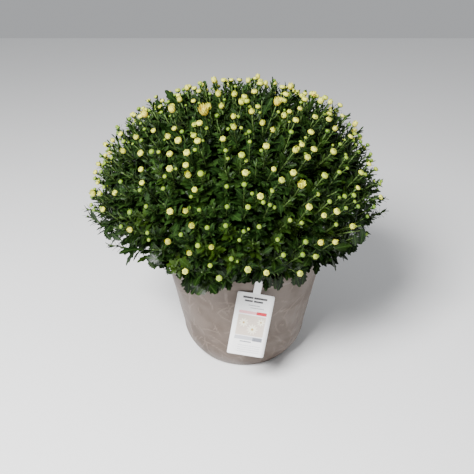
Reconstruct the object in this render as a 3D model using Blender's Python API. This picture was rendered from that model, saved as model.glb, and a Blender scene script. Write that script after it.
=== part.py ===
"""A garden chrysanthemum in bud, in its moulded nursery pot with a card tag.

Metres, +Z up. The origin is the centre of the pot's base, and the front is towards -Y.
The plant is a wide dome of 19 leafy stems: one in the centre, 6 around it and 12 outside.
Each stem stands in its own hole in the soil and carries its own part of the dome, with a
small core that its lobed leaves and its buds stand out of.
"""

import math
import random

import bmesh
import bpy
from mathutils import Matrix, Vector
from mathutils.bvhtree import BVHTree

# Pot
POT_HEIGHT = 0.225
POT_BASE_RADIUS = 0.092
POT_BODY_RADIUS = 0.121
POT_BODY_Z = 0.060
POT_TAPER = 0.195
POT_WALL = 0.0026
POT_FLOOR = 0.003
RIM_BAND_HEIGHT = 0.021
RIM_BAND_STEP = 0.0016
POT_SIDES = 36
LIP_ROUND = 0.001
POT_OUTER_HEIGHTS = [0.0, 0.004, 0.014, 0.028, 0.044, POT_BODY_Z]
POT_INNER_HEIGHTS = [0.221, POT_BODY_Z, 0.030, 0.012, POT_FLOOR]
DRAIN_HOLES = 5
DRAIN_HOLE_RADIUS = 0.006
DRAIN_HOLE_SIDES = 8
DRAIN_CIRCLE_RADIUS = 0.062

# Soil
SOIL_TOP = 0.194
SOIL_CROWN = 0.004
SOIL_CROWN_RADIUS = 0.090
SOIL_SIDES = 18
TOUCH_GAP = 0.0004

# Care tag
TAG_WIDTH = 0.0655
TAG_LENGTH = 0.117
TAG_THICKNESS = 0.0007
TONGUE_WIDTH = 0.013
TAG_X = 0.0295
TAG_TOP_Z = 0.1994
TAG_LEAN = math.radians(12)
TAG_SWING = math.radians(10)
TAG_FACING = math.radians(-1.2)
TONGUE_ARCH = 0.0012
TONGUE_EASE = 0.001
TONGUE_INNER_CLEAR = 0.0025
TONGUE_BEND_Z = 0.008
TONGUE_SOIL_REACH = 0.132
TONGUE_DEPTH = 0.020

# Dome of the plant
DOME_CENTRE = Vector((-0.016, 0.0, 0.300))
DOME_RADIUS = 0.270
DOME_RISE = 0.236
DOME_DROP = 0.096
DOME_RISE_POWER = 2.2
DOME_DROP_POWER = 2.5

# How the dome is shared out among the stems
CROWN = Vector((-0.010, 0.0, SOIL_TOP))
INNER_STEMS = 6
OUTER_PER_INNER = 2
CENTRE_EDGE = 0.012
CENTRE_SPREAD = 0.25
INNER_EDGE = 0.033
INNER_SPREAD = 0.95
INNER_FOOT = 0.0235
OUTER_FOOT = 0.046
CELL_GAP = 0.0005
CENTRE_SEED = 11
INNER_SEED = 100
OUTER_SEED = 200

# Main stems
STEM_RADIUS = 0.0038
STEM_SIDES = 5
STEM_DEPTH = 0.030
STEM_RISE = 0.045
STEM_RINGS = 4
STEM_START = 0.003
STEM_TAPER = 0.3

# Cores
CORE_SCALE = 0.85
CORE_THICKNESS = 0.012
CORE_LOWEST = 0.232
CORE_SEGMENTS = 16
CORE_RINGS = 8
CORE_SAMPLES = 200
MERGE = 1e-6
SLIVER = 1e-4
DRAWS_PER_POINT = 2000

# Leaves
LEAVES_PER_STEM = 9
SKIRT_LEAVES = 4
UPPER_LEAF_LENGTH = 0.066
SKIRT_LEAF_LENGTH = 0.062
UPPER_LEAF_EDGE = [(0.36, 0.50), (0.19, 0.64)]
SKIRT_LEAF_EDGE = [(0.30, 0.34), (0.17, 0.46), (0.34, 0.64), (0.15, 0.77)]
LEAF_THICKNESS = 0.0007
LEAF_NECK = 0.14
LEAF_NECK_WIDTH = 0.025
LEAF_SINK = 0.006
LEAST_SINK = 0.0015
LEAF_FOLD = 0.35
LEAF_ARCH = 0.22
LEAF_ROLL = 0.5
LEAF_LEAST_LEAN = 25
LEAF_MOST_LEAN = 68
LEAF_ROOM = 1.03
SKIRT_ROOM = 1.25
SKIRT_DEPTH = 0.026
SKIRT_SWAY = 0.6
LEAF_SIZES = (0.85, 1.1)
NEARLY_UPRIGHT = 0.05
MOST_TRIES = 700

# Buds
BUDS_PER_STEM = 7
BUD_RADIUS = 0.0046
BUD_BASE_HEIGHT = 0.9
BUD_CROWN_HEIGHT = 0.75
BUD_CROWN_WIDTH = 0.65
BUD_STALK_RADIUS = 0.0010
BUD_STALK_SIDES = 3
BUD_SIZES = (0.85, 1.15)
BUD_SINK = 0.004
BUD_SPACING = 0.034
BUD_SPACING_EASE = 0.996
BUD_REACH_LOW = 0.955
BUD_REACH_HIGH = 0.985
BUD_STEP = 0.001
BUD_STEPS = 60
OPENING_BUD_SHARE = 0.2
OPENING_BUD_STRETCH = 1.7
OPENING_BUD_LOWEST = 0.35
SHOOT_ORIGIN = Vector((-0.010, 0.0, 0.080))

# Room kept clear round the pot and its tag
POT_CLEARANCE = 0.003
TAG_CLEARANCE = 0.006

# Finishes: base colour and roughness
POT_FINISH = ((0.30, 0.26, 0.23), 0.55)
SOIL_FINISH = ((0.05, 0.03, 0.02), 0.95)
FOLIAGE_FINISH = ((0.05, 0.14, 0.03), 0.5)
CARD_FINISH = ((0.85, 0.85, 0.83), 0.45)


def clear_scene():
    for thing in list(bpy.data.objects):
        bpy.data.objects.remove(thing)


def make_material(name, colour, roughness):
    material = bpy.data.materials.new(name)
    material.use_nodes = True
    shader = material.node_tree.nodes["Principled BSDF"]
    shader.inputs["Base Color"].default_value = (*colour, 1.0)
    shader.inputs["Roughness"].default_value = roughness
    shader.inputs["Metallic"].default_value = 0.0
    return material


def make_object(name, bm, material=None):
    mesh = bpy.data.meshes.new(name)
    bm.to_mesh(mesh)
    bm.free()
    if material:
        mesh.materials.append(material)
    thing = bpy.data.objects.new(name, mesh)
    bpy.context.scene.collection.objects.link(thing)
    return thing


def combine(base, tools, operation):
    """One Boolean of base with all the tools, applied. The tools are removed."""
    group = bpy.data.collections.new("tools")
    bpy.context.scene.collection.children.link(group)
    for tool in tools:
        bpy.context.scene.collection.objects.unlink(tool)
        group.objects.link(tool)
    modifier = base.modifiers.new("combine", "BOOLEAN")
    modifier.operation = operation
    modifier.operand_type = "COLLECTION"
    modifier.collection = group
    modifier.solver = "EXACT"
    seen = base.evaluated_get(bpy.context.evaluated_depsgraph_get())
    result = bpy.data.meshes.new_from_object(seen)
    base.modifiers.clear()
    base.data = result
    for tool in tools:
        bpy.data.objects.remove(tool)
    bpy.data.collections.remove(group)


def ring_points(radius, height, sides, centre=(0.0, 0.0)):
    points = []
    for step in range(sides):
        angle = 2 * math.pi * step / sides
        x = centre[0] + radius * math.cos(angle)
        y = centre[1] + radius * math.sin(angle)
        points.append(Vector((x, y, height)))
    return points


def bridge(bm, lower, upper):
    """Side faces between two rings of vertices that run the same way round."""
    count = len(lower)
    for step in range(count):
        following = (step + 1) % count
        bm.faces.new((lower[step], lower[following], upper[following], upper[step]))


def turned(profile, sides):
    """A closed body turned about Z from (radius, height) pairs, bottom to top of its outer side."""
    bm = bmesh.new()
    rings = []
    for radius, height in profile:
        points = ring_points(radius, height, sides)
        rings.append([bm.verts.new(point) for point in points])
    for lower, upper in zip(rings, rings[1:]):
        bridge(bm, lower, upper)
    bm.faces.new(reversed(rings[0]))
    bm.faces.new(rings[-1])
    return bm


# Pot

def pot_radius(height):
    """Outer radius of the pot's body under the rim band."""
    if height < POT_BODY_Z:
        rise = 1 - height / POT_BODY_Z
        return POT_BODY_RADIUS - (POT_BODY_RADIUS - POT_BASE_RADIUS) * rise ** 2
    return POT_BODY_RADIUS + POT_TAPER * (height - POT_BODY_Z)


def pot_profile():
    """(radius, height) pairs up the outer side, over the lip and down inside to the floor."""
    band_low = POT_HEIGHT - RIM_BAND_HEIGHT
    outer = [(pot_radius(height), height) for height in POT_OUTER_HEIGHTS + [band_low]]
    band_radius = pot_radius(band_low) + RIM_BAND_STEP
    top_radius = pot_radius(POT_HEIGHT) + RIM_BAND_STEP
    outer.append((band_radius, band_low + LIP_ROUND))
    outer.append((top_radius, POT_HEIGHT - 2 * LIP_ROUND))
    outer.append((top_radius - LIP_ROUND, POT_HEIGHT))
    inner = [(top_radius - LIP_ROUND - POT_WALL, POT_HEIGHT)]
    for height in POT_INNER_HEIGHTS:
        inner.append((pot_radius(height) - POT_WALL, height))
    return outer + inner


def make_pot(material):
    pot = make_object("pot", turned(pot_profile(), POT_SIDES), material)
    drills = []
    for step in range(DRAIN_HOLES):
        angle = 2 * math.pi * (step + 0.5) / DRAIN_HOLES
        centre = (DRAIN_CIRCLE_RADIUS * math.cos(angle), DRAIN_CIRCLE_RADIUS * math.sin(angle))
        drills.append(make_post(centre, DRAIN_HOLE_RADIUS, -POT_FLOOR, 2 * POT_FLOOR, DRAIN_HOLE_SIDES))
    combine(pot, drills, "DIFFERENCE")
    pot.data.shade_smooth()
    pot.data.set_sharp_from_angle(angle=math.radians(30))
    return pot


def make_post(centre, radius, low, high, sides):
    """A plain upright post, for drilling with."""
    bm = bmesh.new()
    lower = [bm.verts.new(point) for point in ring_points(radius, low, sides, centre)]
    upper = [bm.verts.new(point) for point in ring_points(radius, high, sides, centre)]
    bridge(bm, lower, upper)
    bm.faces.new(reversed(lower))
    bm.faces.new(upper)
    return make_object("post", bm)


# Soil

def make_soil(material, feet):
    profile = []
    for height in [POT_FLOOR + TOUCH_GAP] + POT_INNER_HEIGHTS[-2:0:-1] + [SOIL_TOP]:
        profile.append((pot_radius(height) - POT_WALL - TOUCH_GAP, height))
    profile.append((SOIL_CROWN_RADIUS, SOIL_TOP + SOIL_CROWN))
    soil = make_object("potting_soil", turned(profile, SOIL_SIDES), material)
    floor = SOIL_TOP + SOIL_CROWN - STEM_DEPTH - TOUCH_GAP
    radius = STEM_RADIUS + TOUCH_GAP / math.cos(math.pi / STEM_SIDES)
    drills = []
    for foot in feet:
        drills.append(make_post(foot.xy, radius, floor, POT_HEIGHT, STEM_SIDES))
    drills.append(make_tag_slot())
    combine(soil, drills, "DIFFERENCE")
    return soil


# Care tag

def tag_frame():
    """Carries the tag's own axes to the rim: X along its width, Y outwards, Z up, and the
    origin beside the pot's axis at the height of the rim."""
    facing = Matrix.Rotation(math.pi + TAG_FACING, 4, "Z")
    swing = Matrix.Rotation(-TAG_SWING, 4, "Y")
    return Matrix.Translation((0, 0, POT_HEIGHT)) @ facing @ Matrix.Translation((-TAG_X, 0, 0)) @ swing


def reach_beside(radius, aside):
    """How far out a circle about the pot's axis lies, aside from that axis."""
    return math.sqrt(radius * radius - aside * aside)


def tongue_path():
    """The tongue's route up the rim, over it and down into the soil, as (outwards, up) pairs
    from the rim's height."""
    outer_radius = pot_radius(POT_HEIGHT) + RIM_BAND_STEP
    outside = reach_beside(outer_radius, TAG_X - TONGUE_WIDTH / 2)
    inside = reach_beside(outer_radius - LIP_ROUND - POT_WALL, TAG_X + TONGUE_WIDTH)
    clear = TAG_THICKNESS / 2 + TOUCH_GAP
    soil = SOIL_TOP - POT_HEIGHT
    return [
        (outside + clear, TAG_TOP_Z - POT_HEIGHT),
        (outside + clear, -TONGUE_EASE),
        (outside - TONGUE_EASE, clear + TONGUE_ARCH),
        (inside, clear + TONGUE_ARCH),
        (inside - TONGUE_INNER_CLEAR, -TONGUE_EASE),
        (TONGUE_SOIL_REACH, soil + TONGUE_BEND_Z),
        (TONGUE_SOIL_REACH, soil - TONGUE_DEPTH),
    ]


def make_tag(material):
    path = tongue_path()
    top_out, top_up = path[0]
    foot_out = top_out + TAG_LENGTH * math.sin(TAG_LEAN)
    foot_up = top_up - TAG_LENGTH * math.cos(TAG_LEAN)
    half = TAG_WIDTH / 2
    slim = TONGUE_WIDTH / 2
    bm = bmesh.new()
    card = [(-half, foot_out, foot_up), (half, foot_out, foot_up), (half, top_out, top_up)]
    card += [(slim, top_out, top_up), (-slim, top_out, top_up), (-half, top_out, top_up)]
    corners = [bm.verts.new(corner) for corner in card]
    bm.faces.new(corners)
    right, left = corners[3], corners[4]
    for out, up in path[1:]:
        next_right = bm.verts.new((slim, out, up))
        next_left = bm.verts.new((-slim, out, up))
        bm.faces.new((right, next_right, next_left, left))
        right, left = next_right, next_left
    bm.transform(tag_frame())
    bmesh.ops.recalc_face_normals(bm, faces=bm.faces)
    tag = make_object("care_tag", bm, material)
    thickness = tag.modifiers.new("thickness", "SOLIDIFY")
    thickness.thickness = TAG_THICKNESS
    thickness.offset = 0.0
    thickness.use_even_offset = True
    return tag


def make_tag_slot():
    """The slit that the tongue stands in, cut from the soil."""
    wide = TONGUE_WIDTH / 2 + TOUCH_GAP
    deep = TAG_THICKNESS / 2 + TOUCH_GAP
    low = SOIL_TOP - POT_HEIGHT - TONGUE_DEPTH - TOUCH_GAP
    high = SOIL_CROWN
    bm = bmesh.new()
    bmesh.ops.create_cube(bm, size=1.0)
    for corner in bm.verts:
        corner.co.x *= 2 * wide
        corner.co.y = TONGUE_SOIL_REACH + 2 * deep * corner.co.y
        corner.co.z = high if corner.co.z > 0 else low
    bm.transform(tag_frame())
    return make_object("slot", bm)


# The dome and its shares

def dome_point(direction, scale=1.0):
    """The point of the dome's surface in a direction from its centre."""
    flat = math.hypot(direction.x, direction.y)
    rise, power = DOME_RISE, DOME_RISE_POWER
    if direction.z < 0:
        rise, power = DOME_DROP, DOME_DROP_POWER
    size = (flat / DOME_RADIUS) ** power + (abs(direction.z) / rise) ** power
    return DOME_CENTRE + direction * scale * size ** (-1 / power)


def sideways(angle):
    return Vector((math.cos(angle), math.sin(angle), 0.0))


class Share:
    """One stem's share of the dome: the points on the inner side of all its planes.
    A plane is a point on it and its normal, which points out of the share."""

    def __init__(self, name, foot, planes, seed, hangs_over_rim=False):
        self.name = name
        self.hangs_over_rim = hangs_over_rim
        self.foot = foot
        self.planes = planes
        self.random = random.Random(seed)

    def holds(self, point, margin=0.0):
        for spot, normal in self.planes:
            if (point - spot).dot(normal) > -margin:
                return False
        return True

    def surface_points(self, scale, margin, count):
        """Points of the scaled dome inside this share, evenly drawn."""
        found = []
        for attempt in range(count * DRAWS_PER_POINT):
            if len(found) == count:
                break
            height = self.random.uniform(-1, 1)
            angle = self.random.uniform(0, 2 * math.pi)
            flat = math.sqrt(1 - height * height)
            direction = Vector((flat * math.cos(angle), flat * math.sin(angle), height))
            point = dome_point(direction, scale)
            if point.z > CORE_LOWEST and self.holds(point, margin):
                found.append(point)
        return found


def cone_plane(angle, edge, spread, outwards):
    """A slanted flat that leans away from the crown, met at edge from the crown at the soil."""
    spot = CROWN + sideways(angle) * edge
    normal = sideways(angle) - Vector((0, 0, spread))
    normal.normalize()
    return (spot - normal * CELL_GAP, normal) if outwards else (spot + normal * CELL_GAP, -normal)


def side_plane(angle, turn):
    """An upright flat through the crown's axis. turn is 1 for a share on its clockwise side."""
    normal = sideways(angle + turn * math.pi / 2)
    return (CROWN - normal * CELL_GAP, normal)


def make_shares():
    shares = []
    inner_angles = [2 * math.pi * step / INNER_STEMS for step in range(INNER_STEMS)]
    centre_planes = []
    for angle in inner_angles:
        centre_planes.append(cone_plane(angle, CENTRE_EDGE, CENTRE_SPREAD, True))
    shares.append(Share("leafy_stem_centre", CROWN.copy(), centre_planes, CENTRE_SEED))
    half = math.pi / INNER_STEMS
    for number, angle in enumerate(inner_angles):
        planes = [
            cone_plane(angle, CENTRE_EDGE, CENTRE_SPREAD, False),
            cone_plane(angle, INNER_EDGE, INNER_SPREAD, True),
            side_plane(angle + half, 1),
            side_plane(angle - half, -1),
        ]
        foot = CROWN + sideways(angle) * INNER_FOOT
        shares.append(Share(f"leafy_stem_inner_{number + 1}", foot, planes, INNER_SEED + number))
    width = 2 * half / OUTER_PER_INNER
    for number, angle in enumerate(inner_angles):
        for part in range(OUTER_PER_INNER):
            low = angle - half + part * width
            planes = [
                cone_plane(angle, INNER_EDGE, INNER_SPREAD, False),
                side_plane(low + width, 1),
                side_plane(low, -1),
            ]
            foot = CROWN + sideways(low + width / 2) * OUTER_FOOT
            order = number * OUTER_PER_INNER + part
            name = f"leafy_stem_outer_{order + 1:02d}"
            shares.append(Share(name, foot, planes, OUTER_SEED + order, hangs_over_rim=True))
    return shares


# Leafy stems

def make_core(share, name, material):
    """The part of a smaller dome in this share, cut flat on its inner side."""
    bm = bmesh.new()
    bmesh.ops.create_uvsphere(bm, u_segments=CORE_SEGMENTS, v_segments=CORE_RINGS, radius=1.0)
    for vertex in bm.verts:
        vertex.co = dome_point(vertex.co.copy(), CORE_SCALE)
    samples = share.surface_points(CORE_SCALE, 0.0, CORE_SAMPLES)
    middle = sum(samples, Vector()) / len(samples)
    outward = (middle - DOME_CENTRE).normalized()
    nearest = min((point - DOME_CENTRE).dot(outward) for point in samples)
    back = DOME_CENTRE + outward * (nearest - CORE_THICKNESS)
    cuts = list(share.planes)
    cuts.append((back, -outward))
    cuts.append((Vector((0, 0, CORE_LOWEST)), Vector((0, 0, -1))))
    for spot, normal in cuts:
        everything = list(bm.verts) + list(bm.edges) + list(bm.faces)
        bmesh.ops.bisect_plane(
            bm, geom=everything, plane_co=spot, plane_no=normal, clear_outer=True, dist=MERGE
        )
        open_edges = [edge for edge in bm.edges if edge.is_boundary]
        if open_edges:
            bmesh.ops.contextual_create(bm, geom=open_edges)
    bmesh.ops.dissolve_degenerate(bm, dist=SLIVER, edges=bm.edges)
    bmesh.ops.triangulate(bm, faces=bm.faces)
    bmesh.ops.recalc_face_normals(bm, faces=bm.faces)
    core = make_object(name, bm, material)
    return core, middle, outward


def make_main_stem(share, target):
    """A tapering stem, straight in its hole in the soil and then bent over to the core."""
    surface = SOIL_TOP + SOIL_CROWN
    start = Vector((share.foot.x, share.foot.y, surface + STEM_START))
    bend = start + Vector((0, 0, STEM_RISE))
    bm = bmesh.new()
    foot = ring_points(STEM_RADIUS, surface - STEM_DEPTH, STEM_SIDES, start.xy)
    rings = [[bm.verts.new(point) for point in foot]]
    for step in range(STEM_RINGS):
        along = step / (STEM_RINGS - 1)
        first = start.lerp(bend, along)
        second = bend.lerp(target, along)
        turn = Vector((0, 0, 1)).rotation_difference(second - first).to_matrix()
        radius = STEM_RADIUS * (1 - STEM_TAPER * along)
        centre = first.lerp(second, along)
        ring = [centre + turn @ point for point in ring_points(radius, 0.0, STEM_SIDES)]
        rings.append([bm.verts.new(point) for point in ring])
    for lower, upper in zip(rings, rings[1:]):
        bridge(bm, lower, upper)
    bm.faces.new(reversed(rings[0]))
    bm.faces.new(rings[-1])
    return make_object("main_stem", bm)


def leaf_points(edge, length):
    """The outline of a lobed leaf: the stalk's right root and neck, the lobe tips and notches
    of its right edge, its tip, and the same on its left. +Y runs to the tip and +Z is the
    upper face. The stalk is flat, so that it stays a plain strip."""
    right = [(LEAF_NECK_WIDTH, 0.0), (LEAF_NECK_WIDTH, LEAF_NECK)] + edge
    outline = right + [(0.0, 1.0)] + [(-x, y) for x, y in reversed(right)]
    corners = []
    for x, y in outline:
        past = max(y - LEAF_NECK, 0.0)
        lift = LEAF_FOLD * (abs(x) - LEAF_NECK_WIDTH) if past else 0.0
        corners.append(Vector((x, y, lift - LEAF_ARCH * past * past)) * length)
    return corners


def leaf_faces(count):
    """Faces of a leaf's upper side, the same on both sides of its rib: the stalk, the middle
    and the lobes."""
    tip = count // 2
    last = count - 1
    faces = [(0, 1, last - 1, last), (1, tip, last - 1)]
    inner = 1
    for lobe in range(2, tip, 2):
        notch = lobe + 1
        for first, second, third in ((inner, lobe, notch), (inner, notch, tip)):
            faces.append((first, second, third))
            faces.append((last - first, last - third, last - second))
        inner = notch
    return faces


def make_leaf(corners, upward):
    """A closed leaf blade between its upper corners and the same corners moved down."""
    bm = bmesh.new()
    top = [bm.verts.new(corner) for corner in corners]
    under = [bm.verts.new(corner - upward * LEAF_THICKNESS) for corner in corners]
    count = len(corners)
    for face in leaf_faces(count):
        bm.faces.new([top[corner] for corner in face])
        bm.faces.new([under[corner] for corner in reversed(face)])
    for step in range(count):
        following = (step + 1) % count
        bm.faces.new((top[following], top[step], under[step], under[following]))
    bmesh.ops.recalc_face_normals(bm, faces=bm.faces)
    return make_object("leaf", bm)


def clear_of_pot(point):
    if point.z > POT_HEIGHT + POT_CLEARANCE:
        return True
    reach = math.hypot(point.x, point.y)
    return reach > pot_radius(POT_HEIGHT) + RIM_BAND_STEP + POT_CLEARANCE


def clear_of_tag(point):
    if point.z > POT_HEIGHT + TAG_CLEARANCE or point.y > 0:
        return True
    return abs(point.x - TAG_X) > TAG_WIDTH / 2 + TAG_CLEARANCE


def how_far_out(point):
    """How far out a point lies, as a share of the dome's surface in its direction."""
    offset = point - DOME_CENTRE
    edge = dome_point(offset.normalized()) - DOME_CENTRE
    return offset.length / edge.length


def tree_of(thing):
    """A search tree of an object's faces, for touch tests."""
    corners = [vertex.co for vertex in thing.data.vertices]
    faces = [tuple(face.vertices) for face in thing.data.polygons]
    return BVHTree.FromPolygons(corners, faces)


class Sprig:
    """A stem's core as it fills with leaves and buds, each rooted in the core and clear of
    the others and of the share's edges."""

    def __init__(self, share, core):
        self.share = share
        self.core_tree = tree_of(core)
        self.core_sides = [(face.center.copy(), face.normal.copy()) for face in core.data.polygons]
        self.pieces = []
        self.trees = []

    def sunk(self, root):
        """True for a point well inside the core, which is convex."""
        return all((root - centre).dot(normal) < -LEAST_SINK for centre, normal in self.core_sides)

    def outer_spot(self, margin):
        """A point on the outer face of the core."""
        guess = self.share.surface_points(CORE_SCALE, margin, 1)[0]
        outward = (guess - DOME_CENTRE).normalized()
        spot = self.core_tree.ray_cast(DOME_CENTRE + outward, -outward)[0]
        return spot or guess

    def lower_spot(self):
        """A point on the underside of the core."""
        guess = self.outer_spot(LEAF_SINK)
        inward = self.share.random.uniform(LEAF_SINK, SKIRT_DEPTH)
        flat = Vector((guess.x - CROWN.x, guess.y - CROWN.y, 0)).normalized()
        low = guess - flat * inward
        low.z = 0.0
        return self.core_tree.ray_cast(low, Vector((0, 0, 1)))[0]

    def accept(self, piece, root, points, room):
        """Keeps a piece that lies in the share and touches none of the others."""
        tree = tree_of(piece)
        fits = self.sunk(root) and all(self.share.holds(point, CELL_GAP) for point in points)
        fits = fits and all(clear_of_pot(point) and clear_of_tag(point) for point in points)
        fits = fits and all(how_far_out(point) < room for point in points)
        if not fits or any(tree.overlap(other) for other in self.trees):
            bpy.data.objects.remove(piece)
            return False
        self.pieces.append(piece)
        self.trees.append(tree)
        return True


def leaf_frame(root, heading, roll):
    """A matrix that puts a leaf's root at a point, its tip along heading."""
    along = heading.normalized()
    side = along.cross(Vector((0, 0, 1)))
    if side.length < NEARLY_UPRIGHT:
        side = along.cross(Vector((0, 1, 0)))
    side.normalize()
    upper = side.cross(along)
    turn = Matrix((side, along, upper)).transposed()
    turn = turn @ Matrix.Rotation(roll, 3, "Y")
    return Matrix.Translation(root) @ turn.to_4x4()


def try_leaf(sprig, spot, heading, edge, size, room):
    draw = sprig.share.random
    length = size * draw.uniform(*LEAF_SIZES)
    frame = leaf_frame(spot - heading * LEAF_SINK, heading, draw.uniform(-LEAF_ROLL, LEAF_ROLL))
    points = [frame @ corner for corner in leaf_points(edge, length)]
    leaf = make_leaf(points, frame.to_3x3() @ Vector((0, 0, 1)))
    return sprig.accept(leaf, frame.to_translation(), points, room)


def add_leaves(sprig):
    draw = sprig.share.random
    kept = 0
    for attempt in range(MOST_TRIES):
        if kept == LEAVES_PER_STEM:
            break
        spot = sprig.outer_spot(LEAF_SINK)
        away = (spot - SHOOT_ORIGIN).normalized()
        lean = math.radians(draw.uniform(LEAF_LEAST_LEAN, LEAF_MOST_LEAN))
        side = Matrix.Rotation(draw.uniform(0, 2 * math.pi), 3, away) @ away.orthogonal().normalized()
        heading = away * math.cos(lean) + side * math.sin(lean)
        kept += try_leaf(sprig, spot, heading, UPPER_LEAF_EDGE, UPPER_LEAF_LENGTH, LEAF_ROOM)
    return kept


def add_skirt(sprig):
    """Leaves that hang from the underside of an outer stem's core, down past the pot's rim."""
    draw = sprig.share.random
    kept = 0
    for attempt in range(MOST_TRIES):
        if kept == SKIRT_LEAVES:
            break
        spot = sprig.lower_spot()
        if not spot:
            continue
        flat = Vector((spot.x - CROWN.x, spot.y - CROWN.y, 0)).normalized()
        across = Vector((-flat.y, flat.x, 0))
        heading = flat * draw.uniform(-SKIRT_SWAY, SKIRT_SWAY)
        heading += across * draw.uniform(-SKIRT_SWAY, SKIRT_SWAY)
        heading = (heading - Vector((0, 0, 1))).normalized()
        kept += try_leaf(sprig, spot, heading, SKIRT_LEAF_EDGE, SKIRT_LEAF_LENGTH, SKIRT_ROOM)
    return kept


def make_bud(root, top, radius, stretch):
    """A bud on its stalk: a six-sided waist between a three-sided stalk and a smaller top."""
    heading = (top - root).normalized()
    turn = Vector((0, 0, 1)).rotation_difference(heading).to_matrix()
    length = (top - root).length
    crown = length + BUD_CROWN_HEIGHT * radius * stretch
    bm = bmesh.new()

    def ring(size, along, sides):
        return [bm.verts.new(root + turn @ point) for point in ring_points(size, along, sides)]

    foot = ring(BUD_STALK_RADIUS, 0.0, BUD_STALK_SIDES)
    neck = ring(BUD_STALK_RADIUS, length - BUD_BASE_HEIGHT * radius, BUD_STALK_SIDES)
    waist = ring(radius, length, 2 * BUD_STALK_SIDES)
    top_ring = ring(BUD_CROWN_WIDTH * radius, crown, BUD_STALK_SIDES)
    bridge(bm, foot, neck)
    for side in range(BUD_STALK_SIDES):
        following = (side + 1) % BUD_STALK_SIDES
        corners = [waist[2 * side], waist[2 * side + 1], waist[2 * following]]
        for small in (neck, top_ring):
            bm.faces.new((small[side], corners[1], corners[0]))
            bm.faces.new((small[side], small[following], corners[1]))
            bm.faces.new((small[following], corners[2], corners[1]))
    bm.faces.new(foot)
    bm.faces.new(top_ring)
    bmesh.ops.recalc_face_normals(bm, faces=bm.faces)
    return make_object("bud", bm)


def add_buds(sprig):
    draw = sprig.share.random
    kept = 0
    spacing = BUD_SPACING
    tops = []
    for attempt in range(MOST_TRIES):
        if kept == BUDS_PER_STEM:
            break
        spot = sprig.outer_spot(BUD_RADIUS)
        away = (spot - SHOOT_ORIGIN).normalized()
        reach = draw.uniform(BUD_REACH_LOW, BUD_REACH_HIGH)
        top = spot.copy()
        for step in range(BUD_STEPS):
            if how_far_out(top) > reach:
                break
            top += away * BUD_STEP
        spacing *= BUD_SPACING_EASE
        if any((top - other).length < spacing for other in tops):
            continue
        opening = draw.random() < OPENING_BUD_SHARE and top.z > OPENING_BUD_LOWEST
        radius = BUD_RADIUS * draw.uniform(*BUD_SIZES)
        root = spot - away * BUD_SINK
        bud = make_bud(root, top, radius, OPENING_BUD_STRETCH if opening else 1.0)
        points = [spot, top, top + away * radius]
        if sprig.accept(bud, root, points, LEAF_ROOM):
            kept += 1
            tops.append(top)
    return kept


def make_leafy_stem(share, material):
    core, middle, outward = make_core(share, share.name, material)
    stem = make_main_stem(share, middle - outward * CORE_THICKNESS)
    sprig = Sprig(share, core)
    if share.hangs_over_rim:
        add_skirt(sprig)
    add_leaves(sprig)
    add_buds(sprig)
    combine(core, [stem] + sprig.pieces, "UNION")


def main():
    clear_scene()
    pot_plastic = make_material("pot_plastic", *POT_FINISH)
    soil = make_material("soil", *SOIL_FINISH)
    foliage = make_material("foliage", *FOLIAGE_FINISH)
    card = make_material("tag_card", *CARD_FINISH)
    shares = make_shares()
    make_pot(pot_plastic)
    make_soil(soil, [share.foot for share in shares])
    for share in shares:
        make_leafy_stem(share, foliage)
    make_tag(card)


main()
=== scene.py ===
import math
import random

import bmesh
import bpy
import numpy as np
from mathutils import Matrix, Vector, noise


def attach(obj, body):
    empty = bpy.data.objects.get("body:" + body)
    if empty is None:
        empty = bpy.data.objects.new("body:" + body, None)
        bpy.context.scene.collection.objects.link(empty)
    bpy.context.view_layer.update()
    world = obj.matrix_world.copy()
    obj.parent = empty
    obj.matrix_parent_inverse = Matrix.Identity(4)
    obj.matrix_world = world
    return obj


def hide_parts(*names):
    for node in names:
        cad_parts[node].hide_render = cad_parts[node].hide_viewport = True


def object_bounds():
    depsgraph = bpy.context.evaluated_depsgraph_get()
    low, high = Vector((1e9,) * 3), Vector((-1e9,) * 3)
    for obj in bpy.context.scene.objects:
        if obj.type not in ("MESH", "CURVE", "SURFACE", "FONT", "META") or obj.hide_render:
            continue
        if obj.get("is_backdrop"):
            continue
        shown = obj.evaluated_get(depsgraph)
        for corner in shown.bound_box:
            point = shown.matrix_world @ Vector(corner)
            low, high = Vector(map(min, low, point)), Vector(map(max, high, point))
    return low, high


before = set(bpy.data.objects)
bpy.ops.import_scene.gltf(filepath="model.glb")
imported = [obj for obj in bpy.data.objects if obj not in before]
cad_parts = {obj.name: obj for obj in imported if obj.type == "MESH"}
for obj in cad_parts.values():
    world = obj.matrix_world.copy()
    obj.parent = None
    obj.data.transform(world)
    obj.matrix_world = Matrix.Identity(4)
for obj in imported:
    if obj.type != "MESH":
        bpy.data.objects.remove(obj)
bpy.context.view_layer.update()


# Camera, floor and light
# The plant stands on a pale studio floor, seen from the front and a little above. One large
# soft light hangs high on the left, and a weak one fills the right side.

PICTURE = 474
SENSOR = 36.0
FOCUS_PIXELS = 630
CAMERA_PLACE = Vector((0.0, -1.092, 0.769))
CAMERA_PITCH = math.radians(26.1)
POT_AXIS_PIXEL = 244

camera_data = bpy.data.cameras.new("camera")
camera_data.sensor_width = SENSOR
camera_data.lens = SENSOR * FOCUS_PIXELS / PICTURE
camera_data.shift_x = (PICTURE / 2 - POT_AXIS_PIXEL) / PICTURE
camera = bpy.data.objects.new("camera", camera_data)
camera.location = CAMERA_PLACE
camera.rotation_euler = (math.pi / 2 - CAMERA_PITCH, 0.0, 0.0)
bpy.context.scene.collection.objects.link(camera)
bpy.context.scene.camera = camera


def new_material(name):
    """A material, its tree and its shader."""
    made = bpy.data.materials.new(name)
    made.use_nodes = True
    return made, made.node_tree, made.node_tree.nodes["Principled BSDF"]


FLOOR_HALF = 4.0
FLOOR_COLOUR = (0.96, 0.96, 0.96, 1.0)

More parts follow.
